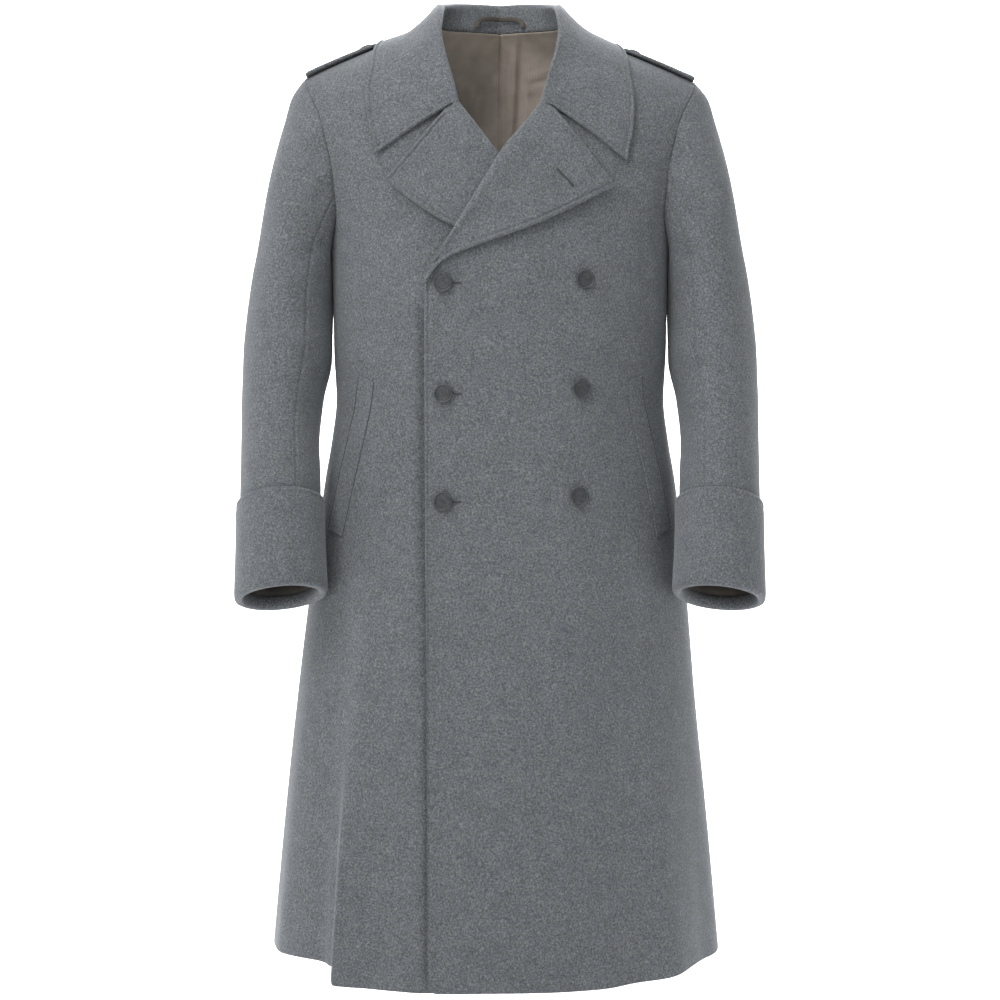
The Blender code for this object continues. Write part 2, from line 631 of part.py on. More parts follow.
def sleeve_half(name, grids, columns):
    """One of a sleeve's two pieces, drawn in from its seams."""
    outer = grids[0][columns].copy()
    inner = grids[1][columns].copy()
    for end, following in ((0, 1), (-1, -2)):
        way = unit(outer[following] - outer[end])
        outer[end] += way * SEAM
        inner[end] += way * SEAM
    return wall(name, outer, inner, "wool")


def ring_sweep(name, side, profile, material):
    """Sweep a closed profile of (place along the sleeve, lift) round the sleeve's end."""
    turns = np.arange(2 * ARMHOLE_STEPS) * 180.0 / ARMHOLE_STEPS
    rings = [sleeve_place(side, turns, CUFF_END + place + 0 * turns, lift) for place, lift in profile]
    points = np.array(rings)
    rows, columns = points.shape[:2]
    faces = []
    for row in range(rows):
        for column in range(columns):
            next_row, following = (row + 1) % rows, (column + 1) % columns
            faces.append((
                row * columns + column, row * columns + following,
                next_row * columns + following, next_row * columns + column,
            ))
    return solid(name, points.reshape(-1, 3), faces, material)


def roll_place(side, share):
    """Front-view place on a front's roll line, from the break (0) to the neck (1)."""
    x = -TOP_EDGE[2, 1] + (GORGE_ROLL[0] + TOP_EDGE[2, 1]) * share
    z = np.interp(x, (-TOP_EDGE[2, 1], 0.0, GORGE_ROLL[0]), (BREAK_Z, ROLL_MIDDLE_Z, GORGE_ROLL[1]))
    return side * x, z


def lapel(name, side, edge_table, start, rise):
    """The turned-out part of a front, from its roll line to its edge.

    The roll line begins at a share of its length: the under lapel's foot is hidden by the top front.
    """
    share = np.array(LAPEL_ROWS)
    across = np.array(LAPEL_COLUMNS)
    roll_x, roll_z = roll_place(side, start + (1 - start) * share)
    edge_x, edge_z = smooth(edge_table, 1, share), smooth(edge_table, 2, share)
    end_x = np.interp(across, (0, NOTCH_SHARE, 1), (roll_x[-1], side * NOTCH[0], edge_x[-1]))
    end_z = np.interp(across, (0, NOTCH_SHARE, 1), (roll_z[-1], NOTCH[1], edge_z[-1])) - LAPEL_RISE
    bend = share[:, None] ** LAPEL_TURN
    x = roll_x[:, None] + (edge_x - roll_x)[:, None] * across
    z = roll_z[:, None] + (edge_z - roll_z)[:, None] * across
    x = x + bend * (end_x - x[-1])
    z = z + bend * (end_z - z[-1])
    crown = np.exp(-((across - PUFF_PLACE) / PUFF_WIDTH) ** 2)
    puff = LAPEL_PUFF * crown[None, :] * ease(share / PUFF_START)[:, None]
    if side < 0:
        puff = puff * ease((share - UNDER_PUFF_START) / PUFF_START)[:, None]
    inner = front_place(side, x, z, rise + puff)
    outer = front_place(side, x, z, rise + puff + LAPEL_WOOL)
    return wall(name, outer, inner, "wool")


def is_inside(point):
    """Whether a point lies within the form."""
    x, y, z = point
    if z >= ridge_height(x) or abs(x) >= half_width(z):
        return False
    angle = float(front_angle(x, z))
    if y > 0:
        angle = 180 - angle
    return abs(y) < abs(form_point(angle, z)[1])


def push_out(point, lift):
    """Move a point out along a ray from within the form, until it stands clear by the lift."""
    core = np.array([point[0] * 0.5, 0.0, point[2] - CORE_DEPTH])
    way = point - core
    distance = np.linalg.norm(way)
    way = way / distance
    low, high = 0.0, SEARCH_REACH
    for _ in range(SEARCH_STEPS):
        middle = (low + high) / 2
        if is_inside(core + way * middle):
            low = middle
        else:
            high = middle
    return core + way * max(distance, low + lift)


def neck_seam(side):
    """Points along half of the neck seam, from the back centre to the front of the roll line."""
    back = np.linspace(0.0, NECK_RATIO, 40)
    front = np.linspace(NECK_RATIO, GORGE_RATIO, 40)[1:]
    angles = np.concatenate([180 - ratio_to_angle(back), ratio_to_angle(front)])
    heights = np.concatenate([back_neck_height(back), straight(NECK_FRONT, 1, front)])
    return form_point(side * angles, heights)


def collar_profile(share, side):
    """Points across the collar at a share of its half length: up the stand and down the fall."""
    seam = neck_seam(side)
    length = np.concatenate([[0.0], np.cumsum(np.linalg.norm(np.diff(seam, axis=0), axis=1))])
    base = np.array([np.interp(share * length[-1], length, seam[:, k]) for k in range(3)])
    roll = base + np.array([float(smooth(COLLAR, k, share)) for k in (1, 2, 3)]) * np.array([side, 1, 1])
    edge = np.array([float(smooth(COLLAR, k, share)) for k in (4, 5, 6)]) * np.array([side, 1, 1])
    if side < 0:
        edge += ease((share - UNDER_POINT_START) / (1 - UNDER_POINT_START)) * np.array(UNDER_POINT_SHIFT)
    turned = ease((share - TURN_START) / TURN_LENGTH)
    chest_crest = np.array(CHEST_CREST) * np.array([side, 1, 1])
    crest = unit(np.array([0.0, 0.0, 1.0]) * (1 - turned) + chest_crest * turned)
    away = edge - roll
    away = unit(away - crest * np.dot(away, crest))
    fold_in = roll - away * ROLL_RADIUS - crest * ROLL_RADIUS * ROLL_IN_DROP
    fold_out = roll + away * ROLL_RADIUS - crest * ROLL_RADIUS * ROLL_OUT_DROP
    base = base + np.array([0.0, 0.0, COLLAR_RISE]) + crest * COLLAR_RISE * ease((share - 0.5) / 0.3)
    points = [base, base + (fold_in - base) * 0.55, fold_in, roll, fold_out]
    notch_place = front_place(side, side * NOTCH[0], NOTCH[1], COLLAR_RISE + COLLAR_WOOL)
    for across in COLLAR_FALL[1:]:
        point = fold_out + (edge - fold_out) * across
        if across <= NOTCH_SHARE:
            target = notch_place
        else:
            target = notch_place + (edge - notch_place) * (across - NOTCH_SHARE) / (1 - NOTCH_SHARE)
        point = point + (target - point) * ease((share - FRONT_START) / FRONT_LENGTH) ** 2
        tent = float(smooth(COLLAR_TENT, 1, share)) * math.sin(math.pi * across)
        point = point + crest * tent
        layer = top_lift(point[0], point[2]) if side > 0 and point[1] < 0 else 0.0
        bulk = COLLAR_BULK * (1 - across) * ease((share - STAND_THIN_START) / BULK_LENGTH)
        points.append(push_out(point, COLLAR_RISE + COLLAR_WOOL + float(layer + bulk)))
    return points


def collar():
    """The stand and fall in one wall, with its roll along the neck."""
    shares = np.linspace(-1.0, 1.0, COLLAR_COLUMNS)
    outer = np.array([collar_profile(abs(share), 1 if share > 0 else -1) for share in shares])
    around = np.gradient(outer, axis=0)
    across = np.gradient(outer, axis=1)
    normals = unit(np.cross(around, across))
    thickness = np.full(outer.shape[:2], COLLAR_WOOL)
    thin = 1 - STAND_THINNING * ease((np.abs(shares) - STAND_THIN_START) / STAND_THIN_LENGTH)
    thickness[:, :3] *= thin[:, None]
    return wall("collar", outer, outer - normals * thickness[..., None], "wool")


def welt(name, side):
    """A slanted pocket welt, laid on the front."""
    heights = np.linspace(WELT[0, 0], WELT[-1, 0], WELT_ROWS)[:, None]
    part = np.linspace(0.0, 1.0, WELT_COLUMNS)[None, :]
    outer_line, inner_line = smooth(WELT, 1, heights), smooth(WELT, 2, heights)
    ratio = outer_line + (inner_line - outer_line) * part
    z = heights - WELT_SLOPE * part + 0 * ratio
    angle = side * ratio_to_angle(ratio)
    points, normals = form_point(angle, z), form_normal(angle, z)
    return wall(name, points + normals * (WELT_GAP + WELT_WOOL), points + normals * WELT_GAP, "wool")


def turned_button(name, place, axis, diameter):
    """A shank button turned about an axis, its back on the cloth at a place."""
    axis = unit(np.asarray(axis, dtype=float))
    first = unit(np.cross(axis, (0.0, 0.3, 1.0)))
    second = np.cross(axis, first)
    turn = np.arange(BUTTON_SIDES) * 2 * math.pi / BUTTON_SIDES
    circle = np.cos(turn)[:, None] * first + np.sin(turn)[:, None] * second
    points = [place]
    for radius, height in BUTTON_PROFILE:
        points += list(place + circle * radius * diameter + axis * height * diameter)
    points.append(place + axis * BUTTON_PROFILE[-1][1] * diameter)
    faces = []
    last = len(points) - 1
    for side in range(BUTTON_SIDES):
        following = (side + 1) % BUTTON_SIDES
        faces.append((0, 1 + following, 1 + side))
        for ring in range(len(BUTTON_PROFILE) - 1):
            low, high = 1 + ring * BUTTON_SIDES, 1 + (ring + 1) * BUTTON_SIDES
            faces.append((low + side, low + following, high + following, high + side))
        top = 1 + (len(BUTTON_PROFILE) - 1) * BUTTON_SIDES
        faces.append((top + side, top + following, last))
    return solid(name, points, faces, "button")


def shoulder_strap(name, side):
    """A flat strap along the shoulder, pointed towards the collar."""
    part = np.linspace(-1.0, 1.0, 5)[None, :]
    x = STRAP[:, :1] + 0 * part
    y = STRAP[:, 1:2] * part
    height = ridge_height(x) + CLEAR - STRAP_DROP * (y / STRAP[-1, 1]) ** 2
    inner = np.stack([side * x, y, height], axis=-1)
    outer = inner + np.array([0.0, 0.0, STRAP_WALL])
    return wall(name, outer, inner, "wool")


def back_lining():
    """The thin lining inside the back, from the neck down."""
    half = list(LINING_COLUMNS)
    ratios = [-ratio for ratio in half[:0:-1]] + half
    outer, inner = [], []
    for ratio in ratios:
        size = abs(ratio)
        top = column_top(size, False, 1)
        if size > NECK_RATIO - 0.001:
            top -= LINING_DROP
        z = spaced_heights(
            lambda height: back_ratio(size, height, 1), LINING_BOTTOM, top, LINING_ROWS, LINING_CROWDING,
        )
        angle = 180 - ratio_to_angle(ratio) + 0 * z
        points, normals = form_point(angle, z), form_normal(angle, z)
        outer.append(points + normals * LINING_LIFT)
        inner.append(points + normals * (LINING_LIFT - LINING))
    return wall("lining_back", np.array(outer), np.array(inner), "lining")


def stand_face(x, z):
    """How far back the collar stand's inner face is at a front-view place near the back centre."""
    shares = np.linspace(0.0, 0.2, 21)
    profiles = [collar_profile(share, 1) for share in shares]
    base = np.array([profile[0] for profile in profiles])
    fold = np.array([profile[2] for profile in profiles])
    low = np.array([np.interp(abs(x), base[:, 0], base[:, k]) for k in (1, 2)])
    high = np.array([np.interp(abs(x), fold[:, 0], fold[:, k]) for k in (1, 2)])
    return low[0] + (high[0] - low[0]) * (z - low[1]) / (high[1] - low[1])


def hanger_loop():
    """The band that the coat hangs by, sewn at both ends to the foot of the collar stand."""
    x, z, gap = LOOP_PATH.T
    y = np.array([stand_face(place, height) for place, height in zip(x, z)]) - gap - LOOP_WALL / 2
    way = unit(np.stack([np.gradient(x), np.gradient(z)], axis=-1))
    normal = np.stack([-way[:, 1], 0 * x, way[:, 0]], axis=-1)
    centre = np.stack([x, y, z], axis=-1)
    front = np.array([0.0, -LOOP_WALL / 2, 0.0])
    half = normal * LOOP_BAND / 2
    outer = np.stack([centre + half + front, centre - half + front], axis=1)
    inner = outer - 2 * front
    return wall("hanger_loop", outer, inner, "loop")


def build():
    """Make every piece of the coat."""
    for old in list(bpy.data.objects):
        bpy.data.objects.remove(old, do_unlink=True)
    for word, side in (("left", 1), ("right", -1)):
        panel("front_" + word, side, True)
        panel("back_" + word, side, False)
        grids = sleeve_grid(side)
        whole = 2 * ARMHOLE_STEPS
        top = [column % whole for column in range(SLEEVE_BACK_SEAM, whole + SLEEVE_FRONT_SEAM + 1)]
        sleeve_half("topsleeve_" + word, grids, top)
        sleeve_half("undersleeve_" + word, grids, list(range(SLEEVE_FRONT_SEAM, SLEEVE_BACK_SEAM + 1)))
        ring_sweep("cuff_" + word, side, CUFF_PROFILE, "wool")
        ring_sweep("sleeve_lining_" + word, side, SLEEVE_LINING, "sleeve_lining")
        welt("welt_" + word, side)
        shoulder_strap("shoulder_strap_" + word, side)
        top_z = float(ridge_height(STRAP_BUTTON_X)) + CLEAR + STRAP_WALL + STRAP_BUTTON_GAP
        place = np.array([side * STRAP_BUTTON_X, 0.0, top_z])
        turned_button("strap_button_" + word, place, ridge_normal(place[0]), STRAP_BUTTON_DIAMETER)
    lapel("lapel_left", 1, LAPEL_TOP_EDGE, 0.0, TOP_LAPEL_RISE)
    lapel("lapel_right", -1, LAPEL_UNDER_EDGE, UNDER_LAPEL_START, LAPEL_RISE)
    collar()
    back_lining()
    hanger_loop()
    for number, (x, z, rise) in enumerate(BUTTONS, start=1):
        place = front_place(1, x, z, rise)
        axis = form_normal(front_angle(x, z), z) * np.array([1.0, 1.0, 0.5])
        turned_button(f"button_{number}", place, axis, BUTTON_DIAMETER)


build()
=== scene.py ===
"""The looks of a double-breasted military greatcoat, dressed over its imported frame.

Metres, +Z up. The front faces -Y and +X is the wearer's left side. The coat hangs on a hollow general
form, and each cut piece is a closed cloth wall that follows the same tables as its solid.
"""
import logging
import math
from collections.abc import Callable
from dataclasses import dataclass, field
from enum import Enum

import bpy
import numpy as np
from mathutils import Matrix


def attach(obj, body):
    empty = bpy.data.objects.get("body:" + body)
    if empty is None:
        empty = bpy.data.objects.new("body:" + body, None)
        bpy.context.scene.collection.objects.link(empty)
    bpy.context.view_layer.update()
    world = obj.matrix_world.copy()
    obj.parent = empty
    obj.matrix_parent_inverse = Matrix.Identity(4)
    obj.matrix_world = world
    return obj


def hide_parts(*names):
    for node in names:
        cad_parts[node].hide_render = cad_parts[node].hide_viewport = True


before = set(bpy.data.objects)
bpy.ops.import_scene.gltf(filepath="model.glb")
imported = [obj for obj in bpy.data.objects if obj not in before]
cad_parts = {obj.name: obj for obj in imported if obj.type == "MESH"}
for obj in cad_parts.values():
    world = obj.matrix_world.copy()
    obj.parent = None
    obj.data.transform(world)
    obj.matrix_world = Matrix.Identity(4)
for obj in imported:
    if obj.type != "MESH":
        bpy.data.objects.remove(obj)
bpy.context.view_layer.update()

LOG = logging.getLogger("greatcoat")

# One number or a whole array of them
Values = float | np.ndarray

# Cloth thicknesses, and the gap between two pieces at a seam
WOOL = 0.0026
LAPEL_WOOL = 0.0028
COLLAR_WOOL = 0.0030
LINING = 0.0010
SEAM = 0.00018
# Depth and place of the trough beside a crease, as shares of its rise and of its half width
TROUGH_DEPTH = 0.35
TROUGH_PLACE = 1.9

# Height, half width, front depth, back depth of the form
FORM = np.array([
    (-1.170, 0.2800, 0.212, 0.190),
    (-1.099, 0.2740, 0.203, 0.182),
    (-0.973, 0.2627, 0.187, 0.166),
    (-0.847, 0.2500, 0.171, 0.151),
    (-0.720, 0.2375, 0.157, 0.136),
    (-0.640, 0.2285, 0.148, 0.123),
    (-0.5695, 0.2195, 0.143, 0.114),
    (-0.519, 0.2110, 0.140, 0.107),
    (-0.469, 0.2055, 0.136, 0.100),
    (-0.410, 0.2085, 0.134, 0.102),
    (-0.330, 0.2100, 0.130, 0.108),
    (-0.285, 0.2120, 0.1255, 0.112),
    (-0.250, 0.2160, 0.122, 0.115),
    (-0.2155, 0.2270, 0.118, 0.117),
    (-0.183, 0.2364, 0.1125, 0.118),
    (-0.150, 0.2486, 0.105, 0.117),
    (-0.118, 0.2635, 0.096, 0.115),
    (-0.0655, 0.3075, 0.081, 0.112),
    (0.000, 0.3450, 0.065, 0.110),
    (0.040, 0.3720, 0.060, 0.100),
])
# Distance from the centre, height of the shoulder ridge
RIDGE = np.array([(0.0, 0.035), (0.088, 0.0), (0.141, -0.0205), (0.246, -0.0655), (0.300, -0.095)])
# Ratio across the form, height of the armhole seam
ARMHOLE = np.array([
    (0.80, -0.0655), (0.85, -0.118), (0.865, -0.150), (0.88, -0.183), (0.90, -0.2155),
    (0.94, -0.250), (0.985, -0.275), (1.0, -0.285),
])
# Ratio across the form, height of the roll line and front neck edge
NECK_FRONT = np.array([
    (-0.4255, -0.330), (0.0, -0.179), (0.19, -0.1126), (0.2237, -0.060), (0.255, 0.0),
])
# Height, distance of the front edge from the centre, on the top front and on the under front
TOP_EDGE = np.array([(-1.17, 0.0780), (-0.85, 0.0800), (-0.60, 0.0876), (-0.33, 0.0894), (-0.17, 0.0894)])
UNDER_EDGE = np.array([(-1.17, 0.045), (-0.70, 0.085), (-0.45, 0.097), (-0.33, 0.0894), (-0.17, 0.0894)])
# Height, distance right of the centre where the top layer starts to come down to the form
OVERLAP_END = np.array([
    (-1.17, 0.055), (-0.70, 0.095), (-0.45, 0.108), (-0.33, 0.100),
    (-0.25, 0.060), (-0.179, 0.018), (-0.11, -0.010),
])
# Distance from the centre, height: the under lapel's lower edge and roll line, carried on past their ends
UNDER_LAPEL_LINE = np.array([(-0.20, -0.150), (-0.0580, -0.264), (0.0850, -0.333), (0.20, -0.390)])
UNDER_ROLL_LINE = np.array([(-0.20, 0.130), (0.0, -0.179), (0.0894, -0.330), (0.20, -0.50)])
# Angle round the form in degrees (0 front, 90 wearer's left), height of the hem
HEM = np.array([
    (-180, -1.150), (-95, -1.146), (-60, -1.143), (-41.2, -1.147), (-38.8, -1.163), (-20, -1.168),
    (0, -1.166), (25, -1.165), (45, -1.158), (60, -1.153), (95, -1.152), (140, -1.148), (180, -1.150),
])
# Angle in degrees, half width in degrees, rise at the hem, height where the fold starts
FOLDS = np.array([
    (-37.5, 5.0, 0.014, -0.62), (-47.5, 6.5, -0.010, -0.66), (-66.0, 7.0, 0.006, -0.70),
    (-24.0, 9.0, -0.005, -0.74), (33.0, 7.0, -0.007, -0.70), (45.0, 7.5, 0.009, -0.64),
    (66.0, 8.0, -0.006, -0.70), (112.0, 8.0, 0.009, -0.60), (127.0, 7.0, -0.007, -0.66),
    (148.0, 9.0, 0.010, -0.62), (167.0, 8.0, -0.008, -0.70), (-160.0, 8.5, 0.011, -0.64),
    (-141.0, 8.0, -0.008, -0.62), (-121.0, 9.0, 0.010, -0.58), (-103.0, 7.0, -0.005, -0.74),
])
# Creases of the body: angle, height, lean of the crease in degrees, half length, half width, rise
CREASES = np.array([
    (-38.6, -1.080, -2.0, 0.130, 0.0055, 0.0050),
    (-42.0, -1.100, -2.0, 0.120, 0.0055, -0.0045),
    (-52.0, -0.235, 12.0, 0.050, 0.0090, 0.0016),
    (54.0, -0.240, -14.0, 0.055, 0.0100, 0.0015),
    (-58.0, -0.330, 6.0, 0.070, 0.0120, -0.0014),
    (57.0, -0.335, -8.0, 0.075, 0.0130, -0.0015),
    (-60.0, -0.470, 78.0, 0.040, 0.0080, 0.0012),
    (60.0, -0.455, -75.0, 0.042, 0.0090, 0.0012),
    (-38.0, -0.500, 70.0, 0.050, 0.0110, -0.0008),
    (36.0, -0.520, -68.0, 0.055, 0.0120, -0.0008),
    (20.0, -0.700, -6.0, 0.120, 0.0160, 0.0012),
    (-14.0, -0.800, 4.0, 0.150, 0.0180, 0.0010),
    (120.0, -0.440, 70.0, 0.050, 0.0100, 0.0016),
    (-124.0, -0.455, -66.0, 0.050, 0.0100, 0.0016),
    (140.0, -0.480, 62.0, 0.045, 0.0090, -0.0012),
    (-142.0, -0.490, -60.0, 0.045, 0.0090, -0.0012),
    (130.0, -0.230, 20.0, 0.060, 0.0110, 0.0018),
    (-131.0, -0.225, -18.0, 0.060, 0.0110, 0.0018),
    (174.0, -0.300, 2.0, 0.090, 0.0140, -0.0012),
])
# Height, outer reach, inner reach, forward shift, half depth, tilt forward, tilt outward of a sleeve
SLEEVE = np.array([
    (-0.705, 0.3155, 0.2110, -0.120, 0.0570, 17.0, 7.0),
    (-0.667, 0.3155, 0.2145, -0.108, 0.0590, 17.0, 7.0),
    (-0.619, 0.3165, 0.2175, -0.091, 0.0620, 17.0, 6.0),
    (-0.570, 0.3175, 0.2195, -0.074, 0.0650, 16.0, 4.0),
    (-0.521, 0.3185, 0.2225, -0.056, 0.0680, 14.0, 3.0),
    (-0.470, 0.3200, 0.2190, -0.037, 0.0720, 11.0, 1.0),
    (-0.418, 0.3200, 0.2098, -0.022, 0.0760, 7.0, 0.0),
    (-0.368, 0.3170, 0.2098, -0.010, 0.0800, 3.0, 0.0),
    (-0.3175, 0.3110, 0.2104, -0.003, 0.0830, 0.0, 0.0),
    (-0.285, 0.3050, 0.2126, 0.0, 0.0840, 0.0, 0.0),
    (-0.267, 0.3020, 0.2126, 0.0, 0.0835, 0.0, 0.0),
    (-0.217, 0.2940, 0.2126, 0.0, 0.0800, 0.0, 0.0),
    (-0.166, 0.2835, 0.2126, 0.0, 0.0740, 0.0, 0.0),
    (-0.116, 0.2700, 0.2126, 0.0, 0.0660, 0.0, 0.0),
    (-0.091, 0.2630, 0.2126, 0.0, 0.0600, 0.0, 0.0),
    (-0.0655, 0.2460, 0.2126, 0.0, 0.0560, 0.0, 0.0),
])
# Creases of a sleeve: turn in degrees (0 outside, 90 front), level, lean, half length, half width, rise
SLEEVE_CREASES = np.array([
    (62.0, -0.150, 14.0, 0.055, 0.0080, 0.0018),
    (96.0, -0.205, 22.0, 0.050, 0.0085, 0.0020),
    (120.0, -0.300, 52.0, 0.032, 0.0080, -0.0020),
    (84.0, -0.330, 58.0, 0.034, 0.0080, 0.0014),
    (72.0, -0.405, 68.0, 0.034, 0.0075, -0.0016),
    (118.0, -0.420, 74.0, 0.036, 0.0085, 0.0022),
    (100.0, -0.452, 80.0, 0.036, 0.0075, -0.0020),
    (124.0, -0.485, 84.0, 0.030, 0.0080, 0.0020),
    (66.0, -0.560, 60.0, 0.034, 0.0085, 0.0010),
    (28.0, -0.300, 4.0, 0.150, 0.0140, 0.0012),
    (-20.0, -0.250, -4.0, 0.120, 0.0140, 0.0014),
    (-70.0, -0.180, -16.0, 0.060, 0.0110, 0.0022),
    (-100.0, -0.240, -30.0, 0.050, 0.0100, -0.0018),
    (-62.0, -0.470, -50.0, 0.040, 0.0100, 0.0016),
    (-96.0, -0.520, -62.0, 0.036, 0.0090, -0.0014),
    (-50.0, -0.570, -20.0, 0.050, 0.0110, 0.0014),
])


class Side(Enum):
    """The wearer's two sides; the left front is the top layer."""

    LEFT = 1
    RIGHT = -1

    @property
    def word(self) -> str:
        """The side's word in the names of nodes."""
        return self.name.lower()


class Edge(Enum):
    """How a border of a cloth piece is finished."""

    FREE = "turned edge, rounded and stitched beside"
    PLAIN = "turned edge, rounded alone"
    SEAM = "sewn to the next piece"


def smooth(table: np.ndarray, column: int, place: Values) -> np.ndarray:
    """Read one column of a table as a smooth curve that keeps its rises and falls.

    Args:
        table: rows in the order of their first column.
        column: the column to read.
        place: one or more values of the first column.

    Returns:
        The column's values there.
    """
    xs, ys = table[:, 0], table[:, column]
    place = np.clip(np.asarray(place, dtype=float), xs[0], xs[-1])
    secants = np.diff(ys) / np.diff(xs)
    slopes = np.zeros(len(xs))
    slopes[0], slopes[-1] = secants[0], secants[-1]
    for row in range(1, len(xs) - 1):
        before, after = secants[row - 1], secants[row]
        if before * after > 0:
            slopes[row] = 2 * before * after / (before + after)
    row = np.clip(np.searchsorted(xs, place, side="right") - 1, 0, len(xs) - 2)
    width = xs[row + 1] - xs[row]
    part = (place - xs[row]) / width
    bend = part * part * (3 - 2 * part)
    lean = part * (1 - part) * width * (slopes[row] * (1 - part) - slopes[row + 1] * part)
    return ys[row] * (1 - bend) + ys[row + 1] * bend + lean


def straight(table: np.ndarray, column: int, place: Values) -> np.ndarray:
    """Read one column of a table with straight runs between its rows."""
    return np.interp(place, table[:, 0], table[:, column])


def ease(value: Values) -> np.ndarray:
    """Turn smoothly from 0 to 1."""
    value = np.clip(value, 0.0, 1.0)
    return value * value * (3 - 2 * value)


def signed_power(value: Values, power: float) -> np.ndarray:
    """Raise the size of a value to a power and keep its sign."""
    return np.sign(value) * np.abs(value) ** power


def unit(vectors: np.ndarray) -> np.ndarray:
    """Vectors made one long."""
    return vectors / np.maximum(np.linalg.norm(vectors, axis=-1, keepdims=True), 1e-12)


def lengths_along(points: np.ndarray, axis: int) -> np.ndarray:
    """Distances along the rows or columns of a grid of points, from its first."""
    steps = np.linalg.norm(np.diff(points, axis=axis), axis=-1)
    shape = list(points.shape[:2])
    shape[axis] = 1
    return np.concatenate([np.zeros(shape), np.cumsum(steps, axis=axis)], axis=axis)


def run_lengths(points: np.ndarray) -> np.ndarray:
    """Distances along a line of points, from its first."""
    return np.concatenate([[0.0], np.cumsum(np.linalg.norm(np.diff(points, axis=0), axis=1))])


def cloth_places(grid: np.ndarray) -> np.ndarray:
    """Each point's place on the cloth in metres, across and along its grid."""
    return np.stack([lengths_along(grid, 0), lengths_along(grid, 1)], axis=-1).reshape(-1, 2)


def tube_faces(columns: int, rows: int, ring: bool) -> np.ndarray:
    """The faces of a tube of closed columns; in a ring, the last column joins the first."""
    index = np.arange(columns * rows).reshape(columns, rows)
    closed = np.pad(index, ((0, int(ring)), (0, 1)), mode="wrap")
    corners = [closed[:-1, :-1], closed[1:, :-1], closed[1:, 1:], closed[:-1, 1:]]
    return np.stack(corners, axis=-1).reshape(-1, 4)


def filled(marks: list | tuple, step: float) -> np.ndarray:
    """Marks with further values between them, no more than a step apart."""
    values = [marks[0]]
    for low, high in zip(marks[:-1], marks[1:]):
        count = max(1, math.ceil(abs(high - low) / step - 1e-9))
        values += list(low + (high - low) * np.arange(1, count + 1) / count)
    return np.array(values)


def resampled(points: np.ndarray, places: np.ndarray) -> np.ndarray:
    """A smooth curve through control points, the same for each column of a grid.

    Args:
        points: control points, along the first axis.
        places: where to read the curve, in numbers of control points from the first.

    Returns:
        The curve's points, along the first axis.
    """
    last = len(points) - 1
    row = np.clip(np.floor(places).astype(int), 0, last - 1)
    part = (places - row).reshape((-1,) + (1,) * (points.ndim - 1))
    before, start = points[np.maximum(row - 1, 0)], points[row]
    end, after = points[row + 1], points[np.minimum(row + 2, last)]
    first = (end - before) / 2
    second = (after - start) / 2
    gap = end - start
    return start + part * (first + part * (3 * gap - 2 * first - second + part * (first + second - 2 * gap)))


